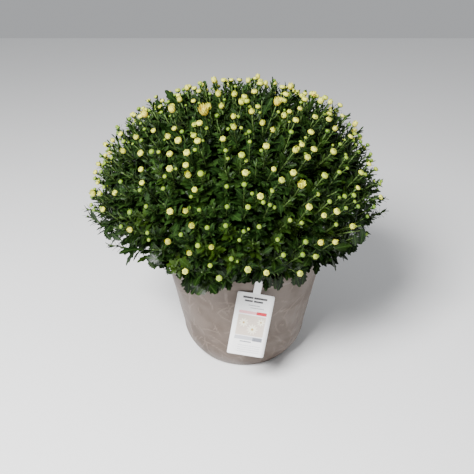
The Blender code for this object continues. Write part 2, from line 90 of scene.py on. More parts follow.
floor_mesh = bpy.data.meshes.new("floor")
floor_corners = [(-1, -1), (1, -1), (1, 1), (-1, 1)]
floor_points = [(x * FLOOR_HALF, y * FLOOR_HALF, 0.0) for x, y in floor_corners]
floor_mesh.from_pydata(floor_points, [], [(0, 1, 2, 3)])
floor = bpy.data.objects.new("floor", floor_mesh)
bpy.context.scene.collection.objects.link(floor)
floor_paint, tree, shader = new_material("floor_paint")
shader.inputs["Base Color"].default_value = FLOOR_COLOUR
shader.inputs["Roughness"].default_value = 0.9
floor_mesh.materials.append(floor_paint)
floor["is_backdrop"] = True

SKY_COLOUR = (0.95, 0.97, 1.0, 1.0)
SKY_STRENGTH = 0.45
KEY_LIGHT = ((-0.85, -1.5, 1.85), 0.8, 160.0)
FILL_LIGHT = ((1.7, -1.3, 1.3), 1.5, 2.0)
LIGHT_AIM = Vector((0.0, 0.0, 0.28))

world = bpy.data.worlds.new("studio")
world.use_nodes = True
backdrop = world.node_tree.nodes["Background"]
backdrop.inputs["Color"].default_value = SKY_COLOUR
backdrop.inputs["Strength"].default_value = SKY_STRENGTH
bpy.context.scene.world = world


def soft_light(name, place, size, power):
    """A square area light that points at the plant."""
    data = bpy.data.lights.new(name, "AREA")
    data.size = size
    data.energy = power
    light = bpy.data.objects.new(name, data)
    light.location = place
    light.rotation_euler = (LIGHT_AIM - Vector(place)).to_track_quat("-Z", "Y").to_euler()
    bpy.context.scene.collection.objects.link(light)


soft_light("key_light", *KEY_LIGHT)
soft_light("fill_light", *FILL_LIGHT)


# Pot
# A 12 inch nursery pot, injection moulded in taupe polypropylene: a rounded foot, straight
# tapered sides and a plain band under the lip, with fine raised lines moulded into the sides.

POT_HEIGHT = 0.225
POT_BASE_RADIUS = 0.092
POT_BODY_RADIUS = 0.121
POT_BODY_Z = 0.060
POT_TAPER = 0.195
POT_WALL = 0.0026
POT_FLOOR = 0.003
RIM_BAND_HEIGHT = 0.021
RIM_BAND_STEP = 0.0016
BAND_EDGE = 0.0006
LIP_ROUND = 0.001
LIP_DROP = 0.0014
LIP_EASE = 0.0004
DRAIN_HOLES = 5
DRAIN_HOLE_RADIUS = 0.006
DRAIN_HOLE_SIDES = 24
DRAIN_CIRCLE_RADIUS = 0.062
POT_SIDES = 360
POT_ROWS = 84
POT_INNER_HEIGHTS = (0.221, 0.150, POT_BODY_Z, 0.030, 0.012, POT_FLOOR)
RAISED_LINES = 330
RAISED_LINE_HEIGHT = 0.0006
RAISED_LINE_WIDTH = 0.0028
RAISED_LINE_LEVELS = (0.015, 0.205)
RAISED_LINE_BENDS = (0.018, 0.070)
RAISED_LINE_REACHES = (0.20, 0.60)
RAISED_LINE_SEED = 5
SMOOTH_FOOT = 0.008
SMOOTH_UNDER_BAND = 0.002


def pot_radius(height):
    """Outer radius of the pot's body under the rim band."""
    if height < POT_BODY_Z:
        rise = 1 - height / POT_BODY_Z
        return POT_BODY_RADIUS - (POT_BODY_RADIUS - POT_BASE_RADIUS) * rise ** 2
    return POT_BODY_RADIUS + POT_TAPER * (height - POT_BODY_Z)


def pot_profile():
    """(radius, height) pairs up the outer side, over the lip and down to the inner floor."""
    band_low = POT_HEIGHT - RIM_BAND_HEIGHT
    sides = []
    for row in range(POT_ROWS + 1):
        height = band_low * row / POT_ROWS
        sides.append((pot_radius(height), height))
    band = pot_radius(band_low) + RIM_BAND_STEP
    top = pot_radius(POT_HEIGHT) + RIM_BAND_STEP
    lip = [(band - BAND_EDGE, band_low), (band, band_low + BAND_EDGE)]
    lip += [(top, POT_HEIGHT - LIP_DROP), (top - LIP_EASE, POT_HEIGHT - LIP_EASE)]
    lip += [(top - LIP_ROUND, POT_HEIGHT), (top - LIP_ROUND - POT_WALL, POT_HEIGHT)]
    inner = []
    for height in POT_INNER_HEIGHTS:
        inner.append((pot_radius(height) - POT_WALL, height))
    return sides + lip + inner


def raised_lines(around, height):
    """How far the moulded lines stand up, from 0 to 1, where around and height are arrays of
    metres on the unrolled side. Each line is a part of a circle with soft ends."""
    chance = random.Random(RAISED_LINE_SEED)
    length = 2 * math.pi * POT_BODY_RADIUS
    raised = np.zeros_like(around)
    for line in range(RAISED_LINES):
        middle = chance.uniform(0.0, length)
        level = chance.uniform(*RAISED_LINE_LEVELS)
        bend = chance.uniform(*RAISED_LINE_BENDS)
        facing = chance.uniform(-math.pi, math.pi)
        reach = chance.uniform(*RAISED_LINE_REACHES)
        aside = (around - middle + length / 2) % length - length / 2 + bend * math.cos(facing)
        above = height - level + bend * math.sin(facing)
        off = np.abs(np.hypot(aside, above) - bend) / (RAISED_LINE_WIDTH / 2)
        turn = np.arctan2(above, aside) - facing
        turn = np.abs((turn + math.pi) % (2 * math.pi) - math.pi) / reach
        ridge = np.clip(1 - off ** 2, 0, 1) * np.clip(2 - 2 * turn, 0, 1)
        raised = np.maximum(raised, ridge)
    return raised


def new_object(name, bm, material=None):
    """An object at the origin that holds the finished mesh."""
    mesh = bpy.data.meshes.new(name)
    bm.to_mesh(mesh)
    bm.free()
    if material:
        mesh.materials.append(material)
    made = bpy.data.objects.new(name, mesh)
    bpy.context.scene.collection.objects.link(made)
    return made


def close_rings(bm, rings):
    """Joins rings of points by faces and closes both ends. Gives the faces of the sides."""
    made = []
    for lower, upper in zip(rings, rings[1:]):
        for side in range(len(lower)):
            following = (side + 1) % len(lower)
            corners = (lower[side], lower[following], upper[following], upper[side])
            made.append(bm.faces.new(corners))
    bm.faces.new(reversed(rings[0]))
    bm.faces.new(rings[-1])
    return made


def turned(profile, sides):
    """A closed body turned about Z from (radius, height) pairs."""
    bm = bmesh.new()
    rings = []
    for radius, height in profile:
        ring = []
        for side in range(sides):
            angle = 2 * math.pi * side / sides
            ring.append(bm.verts.new((radius * math.cos(angle), radius * math.sin(angle), height)))
        rings.append(ring)
    close_rings(bm, rings)
    return bm


def drilled(target, holes, hole_radius, circle_radius, low, high):
    """Cuts a ring of round holes through the target's floor."""
    bm = bmesh.new()
    for hole in range(holes):
        angle = 2 * math.pi * (hole + 0.5) / holes
        middle = Vector((circle_radius * math.cos(angle), circle_radius * math.sin(angle), 0.0))
        place = Matrix.Translation(middle + Vector((0, 0, (low + high) / 2)))
        bmesh.ops.create_cone(
            bm, cap_ends=True, segments=DRAIN_HOLE_SIDES, radius1=hole_radius, radius2=hole_radius,
            depth=high - low, matrix=place,
        )
    drill = new_object("drill", bm)
    modifier = target.modifiers.new("drain holes", "BOOLEAN")
    modifier.object = drill
    modifier.solver = "EXACT"
    cut = bpy.data.meshes.new_from_object(target.evaluated_get(bpy.context.evaluated_depsgraph_get()))
    target.modifiers.clear()
    target.data = cut
    bpy.data.objects.remove(drill)


def node(tree, kind, inputs=None, **settings):
    """A node of a shader or geometry tree, with its settings, and its inputs linked or set."""
    made = tree.nodes.new(kind)
    for key, value in settings.items():
        setattr(made, key, value)
    for key, value in (inputs or {}).items():
        if isinstance(value, bpy.types.NodeSocket):
            tree.links.new(value, made.inputs[key])
        else:
            made.inputs[key].default_value = value
    return made


def maths(tree, operation, first, second=0.0, third=0.0):
    """The result of one Math node."""
    made = node(tree, "ShaderNodeMath", {0: first, 1: second, 2: third}, operation=operation)
    return made.outputs[0]


def blend(tree, share, first, second):
    """Two colours mixed by a share from 0 to 1."""
    made = node(tree, "ShaderNodeMix", {0: share, 6: first, 7: second}, data_type="RGBA")
    return made.outputs[2]


def spread(tree, value, low, high, to_low=0.0, to_high=1.0):
    """A value between low and high carried to another range, and kept inside it."""
    inputs = {0: value, 1: low, 2: high, 3: to_low, 4: to_high}
    return node(tree, "ShaderNodeMapRange", inputs, interpolation_type="SMOOTHSTEP").outputs[0]


def mottle(tree, place, scale, detail=3.0):
    """Soft cloudy variation from 0 to 1."""
    inputs = {"Vector": place, "Scale": scale, "Detail": detail}
    return node(tree, "ShaderNodeTexNoise", inputs).outputs["Fac"]


def object_place(tree):
    """The point on the piece in the object's own metres."""
    return node(tree, "ShaderNodeTexCoord").outputs["Object"]


def piece_value(tree, name):
    """A value that is kept on the piece's points."""
    return node(tree, "ShaderNodeAttribute", attribute_name=name).outputs["Fac"]


def split(tree, place):
    """The node that takes a place apart into X, Y and Z."""
    return node(tree, "ShaderNodeSeparateXYZ", {0: place})


def relief(tree, shader, height, strength, depth):
    """Lets a pattern from 0 to 1 stand up from the surface by a depth."""
    made = node(tree, "ShaderNodeBump", {"Height": height, "Strength": strength, "Distance": depth})
    tree.links.new(made.outputs[0], shader.inputs["Normal"])


POT_COLOUR = (0.106, 0.077, 0.059, 1.0)
POT_DARK = (0.062, 0.043, 0.031, 1.0)
# Painted highlight colour for the raised lines
RAISED_LINE_HIGHLIGHT = (0.200, 0.156, 0.128, 1.0)
POT_SCUFF = (0.040, 0.022, 0.012, 1.0)
POT_CLOUDS = 22.0
POT_GRAIN = 420.0
POT_SPECKS = 150.0
SCUFFED_HEIGHT = 0.035

pot_plastic, tree, shader = new_material("pot_plastic")
place = object_place(tree)
clouds = spread(tree, mottle(tree, place, POT_CLOUDS, 6.0), 0.38, 0.66)
colour = blend(tree, maths(tree, "MULTIPLY", clouds, 0.5), POT_COLOUR, POT_DARK)
raised = piece_value(tree, "raised")
# Painted highlight: the raised lines are made lighter, as if they caught the light.
colour = blend(tree, maths(tree, "MULTIPLY", raised, 0.6), colour, RAISED_LINE_HIGHLIGHT)
grain = spread(tree, mottle(tree, place, POT_GRAIN, 2.0), 0.3, 0.75)
colour = blend(tree, maths(tree, "MULTIPLY", grain, 0.16), colour, POT_DARK)
level = split(tree, place).outputs["Z"]
near_foot = spread(tree, level, 0.002, SCUFFED_HEIGHT, 1.0, 0.0)
specks = spread(tree, mottle(tree, place, POT_SPECKS, 4.0), 0.56, 0.66)
scuffs = maths(tree, "MULTIPLY", near_foot, specks)
colour = blend(tree, maths(tree, "MULTIPLY", scuffs, 0.6), colour, POT_SCUFF)
tree.links.new(colour, shader.inputs["Base Color"])
tree.links.new(spread(tree, clouds, 0.0, 1.0, 0.46, 0.62), shader.inputs["Roughness"])
relief(tree, shader, grain, 0.25, 0.0004)

pot = new_object("pot_finished", turned(pot_profile(), POT_SIDES), pot_plastic)
points = np.empty(len(pot.data.vertices) * 3)
pot.data.vertices.foreach_get("co", points)
points = points.reshape(-1, 3)
turn = np.arctan2(points[:, 1], points[:, 0])
radius = np.hypot(points[:, 0], points[:, 1])
outside = np.arange(len(points)) < (POT_ROWS + 1) * POT_SIDES
clear_of_foot = np.clip((points[:, 2] - SMOOTH_FOOT) / 0.02, 0, 1)
lines_end = POT_HEIGHT - RIM_BAND_HEIGHT - SMOOTH_UNDER_BAND
clear_of_band = np.clip((lines_end - points[:, 2]) / 0.01, 0, 1)
raised = raised_lines(turn * POT_BODY_RADIUS, points[:, 2]) * outside * clear_of_foot * clear_of_band
grown = 1 + raised * RAISED_LINE_HEIGHT / np.maximum(radius, 0.01)
points[:, 0] *= grown
points[:, 1] *= grown
pot.data.vertices.foreach_set("co", points.ravel())
pot.data.attributes.new("raised", "FLOAT", "POINT").data.foreach_set("value", raised)
drilled(pot, DRAIN_HOLES, DRAIN_HOLE_RADIUS, DRAIN_CIRCLE_RADIUS, -POT_FLOOR, 2 * POT_FLOOR)
pot.data.shade_smooth()
pot.data.set_sharp_from_angle(angle=math.radians(35))
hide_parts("pot")
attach(pot, "root")


# Potting soil
# Damp composted bark and peat, filled to about 30 mm under the rim and slightly heaped in the
# middle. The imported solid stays, and loose crumbs of bark lie on it.

SOIL_TOP = 0.194
SOIL_CROWN = 0.004
SOIL_CROWN_RADIUS = 0.090
SOIL_RADIUS = 0.1445
SOIL_DARK = (0.020, 0.012, 0.008, 1.0)
SOIL_LIGHT = (0.110, 0.065, 0.038, 1.0)
SOIL_GRAIN = 190.0
CRUMBS = 900
CRUMB_SHAPES = 3
CRUMB_REACH = 1.55
CRUMB_SIZE = 0.0035
CRUMB_SIZES = (0.5, 1.3)
CRUMB_TILT = 0.4
CRUMB_SEED = 3

potting_mix, tree, shader = new_material("potting_mix")
place = object_place(tree)
crumb = spread(tree, mottle(tree, place, SOIL_GRAIN, 5.0), 0.35, 0.7)
tree.links.new(blend(tree, crumb, SOIL_DARK, SOIL_LIGHT), shader.inputs["Base Color"])
shader.inputs["Roughness"].default_value = 0.9
relief(tree, shader, crumb, 0.9, 0.002)
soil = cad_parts["potting_soil"]
soil.data.materials.clear()
soil.data.materials.append(potting_mix)


def geometry_tree(name, inputs):
    """A Geometry Nodes tree with named inputs, given as (name, socket type) pairs."""
    made = bpy.data.node_groups.new(name, "GeometryNodeTree")
    made.interface.new_socket("Geometry", in_out="INPUT", socket_type="NodeSocketGeometry")
    made.interface.new_socket("Geometry", in_out="OUTPUT", socket_type="NodeSocketGeometry")
    for label, kind in inputs:
        made.interface.new_socket(label, in_out="INPUT", socket_type=kind)
    return made


def grown_from(name, base, tree, values):
    """The plain mesh that a tree makes from the base object, as a new object."""
    modifier = base.modifiers.new(tree.name, "NODES")
    modifier.node_group = tree
    for item in tree.interface.items_tree:
        if item.item_type == "SOCKET" and item.in_out == "INPUT" and item.name in values:
            modifier[item.identifier] = values[item.name]
    seen = base.evaluated_get(bpy.context.evaluated_depsgraph_get())
    mesh = bpy.data.meshes.new_from_object(seen)
    mesh.name = name
    base.modifiers.remove(modifier)
    made = bpy.data.objects.new(name, mesh)
    bpy.context.scene.collection.objects.link(made)
    return made


def scatter_tree():
    """Stands one member of a collection at each point, as the point's own attributes say:
    turn (angles about X, Y and Z), size and kind (the member's number)."""
    inputs = [("Members", "NodeSocketCollection"), ("Scale", "NodeSocketFloat")]
    inputs.append(("Finish", "NodeSocketMaterial"))
    tree = geometry_tree("scatter", inputs)
    start = node(tree, "NodeGroupInput")
    members = node(
        tree, "GeometryNodeCollectionInfo",
        {"Collection": start.outputs["Members"], "Separate Children": True, "Reset Children": True},
    )
    named = {}
    for label, kind in (("turn", "FLOAT_VECTOR"), ("size", "FLOAT"), ("kind", "INT")):
        made = node(tree, "GeometryNodeInputNamedAttribute", {"Name": label}, data_type=kind)
        named[label] = made.outputs[0]
    turned_by = node(tree, "FunctionNodeEulerToRotation", {0: named["turn"]})
    scaled = maths(tree, "MULTIPLY", named["size"], start.outputs["Scale"])
    stand = node(
        tree, "GeometryNodeInstanceOnPoints",
        {
            "Points": start.outputs["Geometry"],
            "Instance": members.outputs[0],
            "Pick Instance": True,
            "Instance Index": named["kind"],
            "Rotation": turned_by.outputs[0],
            "Scale": scaled,
        },
    )
    real = node(tree, "GeometryNodeRealizeInstances", {"Geometry": stand.outputs[0]})
    finish = node(
        tree, "GeometryNodeSetMaterial",
        {"Geometry": real.outputs[0], "Material": start.outputs["Finish"]},
    )
    node(tree, "NodeGroupOutput", {"Geometry": finish.outputs[0]})
    return tree


scatter = scatter_tree()


def kept_collection(name, members):
    """A collection of members that aren't shown, for a scatter tree to pick from."""
    made = bpy.data.collections.new(name)
    for member in members:
        made.objects.link(member)
        bpy.context.scene.collection.objects.unlink(member)
    return made


def scattered(name, spots, members, scale, finish):
    """A piece made of members of a collection, one at each spot. A spot is its place, its turn
    as three angles, its size, the member's number and its shade from 0 to 1."""
    mesh = bpy.data.meshes.new(name + "_spots")
    places, turns, sizes, kinds, shades = zip(*spots)
    mesh.from_pydata(places, [], [])
    angles = [angle for turn in turns for angle in turn]
    mesh.attributes.new("turn", "FLOAT_VECTOR", "POINT").data.foreach_set("vector", angles)
    mesh.attributes.new("size", "FLOAT", "POINT").data.foreach_set("value", sizes)
    mesh.attributes.new("kind", "INT", "POINT").data.foreach_set("value", kinds)
    mesh.attributes.new("shade", "FLOAT", "POINT").data.foreach_set("value", shades)
    base = bpy.data.objects.new(name + "_spots", mesh)
    bpy.context.scene.collection.objects.link(base)
    values = {"Members": members, "Scale": scale, "Finish": finish}
    made = grown_from(name, base, scatter, values)
    bpy.data.objects.remove(base)
    return made


crumb_shapes = []
chance = random.Random(CRUMB_SEED)
for number in range(CRUMB_SHAPES):
    bm = bmesh.new()
    bmesh.ops.create_icosphere(bm, subdivisions=1, radius=1.0)
    stretch = Vector((chance.uniform(0.8, 1.6), chance.uniform(0.5, 0.9), chance.uniform(0.3, 0.5)))
    for vert in bm.verts:
        vert.co = vert.co * stretch * chance.uniform(0.8, 1.15)
    crumb_shapes.append(new_object(f"crumb_{number}", bm))
crumb_kinds = kept_collection("crumbs", crumb_shapes)
crumb_spots = []
for number in range(CRUMBS):
    reach = SOIL_CROWN_RADIUS * CRUMB_REACH * math.sqrt(chance.random())
    angle = chance.uniform(0.0, 2 * math.pi)
    slope = (SOIL_RADIUS - reach) / (SOIL_RADIUS - SOIL_CROWN_RADIUS)
    heap = SOIL_TOP + SOIL_CROWN * min(1.0, max(0.0, slope))
    spot = Vector((reach * math.cos(angle), reach * math.sin(angle), heap))
    tilt = chance.uniform(-CRUMB_TILT, CRUMB_TILT)
    roll = chance.uniform(-CRUMB_TILT, CRUMB_TILT)
    turn = (tilt, roll, chance.uniform(0.0, 2 * math.pi))
    crumb_spots.append((spot, turn, chance.uniform(*CRUMB_SIZES), number % CRUMB_SHAPES, 0.0))

crumbs = scattered("soil_crumbs", crumb_spots, crumb_kinds, CRUMB_SIZE, potting_mix)
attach(crumbs, "root")


# Care tag
# A white printed card on a narrow tongue, die cut in one piece from thin plastic sheet. The
# tongue folds over the rim and goes down between the pot's wall and the soil.

TAG_WIDTH = 0.0655
TAG_LENGTH = 0.117
TAG_THICKNESS = 0.0007
TAG_CORNER = 0.0025
TAG_BOW = 0.0008
TONGUE_WIDTH = 0.013
TAG_X = 0.0295
TAG_TOP_Z = 0.1994
TAG_LEAN = math.radians(12)
TAG_SWING = math.radians(10)
TAG_FACING = math.radians(-1.2)
TONGUE_SOIL_REACH = 0.132
TONGUE_DEPTH = 0.020
TOUCH_GAP = 0.0004
TONGUE_PRINT_STEP = 0.003
TAG_ROWS = 24
TAG_COLUMNS = 8


def reach_beside(radius, aside):
    """How far out a circle about the pot's axis lies, aside from that axis."""
    return math.sqrt(radius * radius - aside * aside)


def tag_rows():
    """(distance along, outwards, up, half width) of the card from its foot to its top, and on
    up the tongue, over the rim and down into the soil."""
    outer_radius = pot_radius(POT_HEIGHT) + RIM_BAND_STEP
    outside = reach_beside(outer_radius, TAG_X - TONGUE_WIDTH / 2)
    inside = reach_beside(outer_radius - LIP_ROUND - POT_WALL, TAG_X + TONGUE_WIDTH)
    clear = TAG_THICKNESS / 2 + TOUCH_GAP
    soil_level = SOIL_TOP - POT_HEIGHT
    top_out = outside + clear
    top_up = TAG_TOP_Z - POT_HEIGHT
    rows = []
    for row in range(TAG_ROWS + 1):
        along = TAG_LENGTH * (1 - math.cos(math.pi * row / TAG_ROWS)) / 2
        drop = TAG_LENGTH - along
        bow = TAG_BOW * math.sin(math.pi * along / TAG_LENGTH)
        corner = max(0.0, TAG_CORNER - min(along, drop)) / TAG_CORNER
        half = TAG_WIDTH / 2 - TAG_CORNER * (1 - math.sqrt(1 - corner ** 2))
        out = top_out + drop * math.sin(TAG_LEAN) + bow
        rows.append((along, out, top_up - drop * math.cos(TAG_LEAN), half))
    tongue = [
        (top_out, top_up + 0.0003),
        (top_out, top_up + 0.004),
        (top_out, -0.002),
        (outside - 0.0002, clear + 0.0002),
        (outside - 0.0012, clear + 0.0011),
        ((outside + inside) / 2, clear + 0.0013),
        (inside, clear + 0.0011),
        (inside - 0.0018, clear - 0.0002),
        (inside - 0.0030, -0.002),
        (TONGUE_SOIL_REACH + 0.0035, soil_level + 0.016),
        (TONGUE_SOIL_REACH, soil_level + 0.008),
        (TONGUE_SOIL_REACH, soil_level - TONGUE_DEPTH),
    ]
    along = TAG_LENGTH
    for out, up in tongue:
        along += TONGUE_PRINT_STEP
        rows.append((along, out, up, TONGUE_WIDTH / 2))
    return rows


def uv_layer(bm):
    """The mesh's one UV map, made where it has none yet."""
    return bm.loops.layers.uv.get("UVMap") or bm.loops.layers.uv.new("UVMap")


def make_tag(material):
    """The card and tongue as one bent sheet, with its own metres as its UV map."""
    beside = Matrix.Rotation(math.pi + TAG_FACING, 4, "Z") @ Matrix.Translation((-TAG_X, 0, 0))
    to_rim = Matrix.Translation((0, 0, POT_HEIGHT)) @ beside @ Matrix.Rotation(-TAG_SWING, 4, "Y")
    bm = bmesh.new()
    uv = uv_layer(bm)
    printed = {}
    grid = []
    for along, out, up, half in tag_rows():
        line = []
        for column in range(TAG_COLUMNS + 1):
            aside = half * (2 * column / TAG_COLUMNS - 1)
            vert = bm.verts.new(to_rim @ Vector((aside, out, up)))
            printed[vert] = (-aside, along)
            line.append(vert)
        grid.append(line)
    for lower, upper in zip(grid, grid[1:]):
        for column in range(TAG_COLUMNS):
            corners = (lower[column + 1], lower[column], upper[column], upper[column + 1])
            face = bm.faces.new(corners)
            for loop in face.loops:
                loop[uv].uv = printed[loop.vert]
    tag = new_object("care_tag_finished", bm, material)
    tag.data.shade_smooth()
    sheet = tag.modifiers.new("thickness", "SOLIDIFY")
    sheet.thickness = TAG_THICKNESS
    sheet.offset = 0.0
    return tag


def uv_place(tree):
    """The place on the piece's UV map, taken apart into X and Y."""
    return split(tree, node(tree, "ShaderNodeUVMap", uv_map="UVMap").outputs[0])


def panel(tree, across, along, middle, half_width, low, high):
    """1 inside an upright rectangle of the print, 0 outside it."""
    aside = maths(tree, "ABSOLUTE", maths(tree, "SUBTRACT", across, middle))
    inside = maths(tree, "LESS_THAN", aside, half_width)
    above = maths(tree, "ABSOLUTE", maths(tree, "SUBTRACT", along, (low + high) / 2))
    return maths(tree, "MULTIPLY", inside, maths(tree, "LESS_THAN", above, (high - low) / 2))


def daisy(tree, across, along, middle, level, size, petals):
    """The distance from a drawn flower's middle, where its petals end at 1."""
    aside = maths(tree, "SUBTRACT", across, middle)
    above = maths(tree, "SUBTRACT", along, level)
    turn = maths(tree, "ARCTAN2", above, aside)
    lobes = maths(tree, "COSINE", maths(tree, "MULTIPLY", turn, petals))
    edge = maths(tree, "MULTIPLY_ADD", lobes, 0.22 * size, 0.78 * size)
    squares = maths(tree, "MULTIPLY_ADD", aside, aside, maths(tree, "MULTIPLY", above, above))
    return maths(tree, "DIVIDE", maths(tree, "SQRT", squares), edge)


CARD_WHITE = (0.95, 0.95, 0.94, 1.0)
INK_DARK = (0.055, 0.050, 0.055, 1.0)
INK_GREY = (0.20, 0.21, 0.24, 1.0)
INK_PALE = (0.52, 0.53, 0.56, 1.0)
INK_PINK = (0.87, 0.45, 0.47, 1.0)
INK_RED = (0.62, 0.02, 0.04, 1.0)
PICTURE_GROUND = (0.70, 0.60, 0.50, 1.0)
PETAL_INK = (0.95, 0.91, 0.74, 1.0)
PETAL_HEART = (0.50, 0.34, 0.10, 1.0)
PRINT_HALF = 0.0245

# The drawn flowers: middle, height, size and petals
DAISIES = [(-0.013, 0.062, 0.0085, 9.0), (0.004, 0.051, 0.0100, 11.0), (0.017, 0.066, 0.0070, 8.0)]

# The printed bars in the order of printing: middle, half width, lower and upper edge, and ink
PRINTED_BARS = [
    (-0.0130, 0.0090, 0.1070, 0.1105, INK_DARK),
    (0.0090, 0.0115, 0.1070, 0.1105, INK_DARK),
    (-0.0110, 0.0070, 0.1010, 0.1042, INK_DARK),
    (0.0060, 0.0080, 0.1010, 0.1042, INK_DARK),
    (0.0, 0.010, 0.0945, 0.0955, INK_GREY),
    (0.006, 0.012, 0.0900, 0.0910, INK_GREY),
    (-0.004, 0.010, 0.0255, 0.0275, INK_GREY),
    (0.0, PRINT_HALF, 0.0790, 0.0840, INK_PINK),
    (0.0155, 0.0090, 0.0785, 0.0845, INK_RED),
    (0.0, PRINT_HALF, 0.0300, 0.0370, INK_PALE),
    (0.0160, 0.0085, 0.0290, 0.0360, INK_GREY),
]

# The rows of short marks at the card's foot
MARK_ROWS = [0.0070, 0.0110, 0.0150, 0.0190]
MARK_ROW_HALF = 0.0009
MARK_FREQUENCY = 3200.0

tag_card, tree, shader = new_material("tag_card")
print_place = uv_place(tree)
across = print_place.outputs["X"]
along = print_place.outputs["Y"]
picture = panel(tree, across, along, 0.0, PRINT_HALF, 0.0385, 0.0765)
colour = blend(tree, picture, CARD_WHITE, PICTURE_GROUND)
for middle, level, size, petals in DAISIES:
    reach = daisy(tree, across, along, middle, level, size, petals)
    colour = blend(tree, maths(tree, "LESS_THAN", reach, 1.0), colour, PETAL_INK)
    colour = blend(tree, maths(tree, "LESS_THAN", reach, 0.3), colour, PETAL_HEART)
for middle, half, low, high, ink in PRINTED_BARS:
    colour = blend(tree, panel(tree, across, along, middle, half, low, high), colour, ink)
wave = maths(tree, "SINE", maths(tree, "MULTIPLY", across, MARK_FREQUENCY))
marks = maths(tree, "GREATER_THAN", wave, -0.1)
for level in MARK_ROWS:
    row = panel(tree, across, along, 0.004, 0.0200, level - MARK_ROW_HALF, level + MARK_ROW_HALF)
    colour = blend(tree, maths(tree, "MULTIPLY", row, marks), colour, INK_PALE)
tree.links.new(colour, shader.inputs["Base Color"])
fibre = mottle(tree, object_place(tree), 300.0)
tree.links.new(spread(tree, fibre, 0.2, 0.8, 0.24, 0.38), shader.inputs["Roughness"])
tag = make_tag(tag_card)
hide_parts("care_tag")
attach(tag, "root")


# Leaves and shoots
# A garden mum carries lobed, dark green leaves all the way up thin grey-green shoots, smaller
# towards the bud. The leaf blades are folded along the midrib and arch back.

# A leaf's outline from its stalk to its tip: height on the midrib, height at the edge, half width
LEAF_EDGE = [
    (0.00, 0.00, 0.016), (0.17, 0.17, 0.024), (0.25, 0.31, 0.170), (0.35, 0.37, 0.105),
    (0.44, 0.53, 0.245), (0.55, 0.58, 0.145), (0.65, 0.76, 0.215), (0.78, 0.81, 0.120),
    (0.90, 0.95, 0.080), (1.00, 1.00, 0.004),
]
YOUNG_LEAF_EDGE = [
    (0.00, 0.00, 0.025), (0.30, 0.34, 0.085), (0.45, 0.55, 0.140), (0.62, 0.66, 0.090),
    (0.78, 0.84, 0.090), (1.00, 1.00, 0.004),
]
LEAF_CURL = 0.9
GOLDEN_TURN = math.radians(137.5)


def sideways(angle):
    """The level direction at an angle about Z."""
    return Vector((math.cos(angle), math.sin(angle), 0.0))


def set_square(growth, facing):
    """The rotation that carries Z to growth and Y as near as it can to facing."""
    up = growth.normalized()
    side = facing.cross(up).normalized()
    front = up.cross(side)
    return Matrix((side, front, up)).transposed()


def leaf_into(bm, place, turn, length, edge, fold, arch):
    """Adds one leaf that grows along the turn's Z and shows its upper face along its Y. The UV
    map holds the place across the blade and along it."""
    uv = uv_layer(bm)
    spots = {}
    rows = []
    for rib, side, half in edge:
        row = []
        for across, along in ((-half, side), (0.0, rib), (half, side)):
            lift = fold * abs(across) - LEAF_CURL * across ** 2 - arch * along ** 2
            tip = Vector((across, lift, along * (1 - 0.25 * arch * along)))
            vert = bm.verts.new(place + turn @ (tip * length))
            spots[vert] = (0.5 + across, along)
            row.append(vert)
        rows.append(row)
    for lower, upper in zip(rows, rows[1:]):
        for left in range(2):
            face = bm.faces.new((lower[left + 1], lower[left], upper[left], upper[left + 1]))
            face.smooth = True
            for loop in face.loops:
                loop[uv].uv = spots[loop.vert]


TUBE_FACING = Vector((0.13, 0.97, 0.2))


def tube_into(bm, path, thickness, sides):
    """Adds a round stem along a path of points. Its vertices are marked 1 as part of a stem."""
    layer = bm.verts.layers.float.get("part") or bm.verts.layers.float.new("part")
    rings = []
    for number, spot in enumerate(path):
        ahead = path[min(number + 1, len(path) - 1)] - path[max(number - 1, 0)]
        turn = set_square(ahead, TUBE_FACING)
        ring = []
        for side in range(sides):
            angle = 2 * math.pi * side / sides
            vert = bm.verts.new(spot + turn @ (sideways(angle) * thickness[number]))
            vert[layer] = 1.0
            ring.append(vert)
        rings.append(ring)
    for face in close_rings(bm, rings):
        face.smooth = True


SHOOT_LENGTH = 0.074
SHOOT_TOP_THICKNESS = 0.0010
SHOOT_FOOT_THICKNESS = 0.0014
SHOOT_SIDES = 5
SHOOT_STEPS = 6
SHOOT_BEND = 0.012
LOWEST_LEAF = 0.97
LARGEST_LEAF = 0.031
SMALLEST_LEAF = 0.013
LEAF_SIZES = (0.85, 1.15)
LEAF_FOLD = 0.35
LEAF_ARCHES = (0.1, 0.4)
TOP_LEAN = 24
YOUNG_LEAVES = 12
SHOOT_SEED = 40
STALK_SIDES = 4
STALK_STARTS = (0.16, 0.4)
STALK_REACHES = (0.014, 0.022)
STALK_THICKNESS = (0.0008, 0.0008, 0.0007)

# The kinds of shoot: leaves, side stalks, widest lean of a leaf in degrees, bare share
SHOOT_KINDS = [
    (23, 0, 40, 0.04), (23, 1, 42, 0.05), (23, 1, 38, 0.05), (23, 2, 42, 0.05),
    (23, 0, 60, 0.05), (25, 0, 64, 0.0),
]


def shoot_spot(bend, share):
    """A point of the shoot's stem. share is 0 at its top and 1 at its foot."""
    return Vector((bend * share ** 2, 0.0, -SHOOT_LENGTH * share))


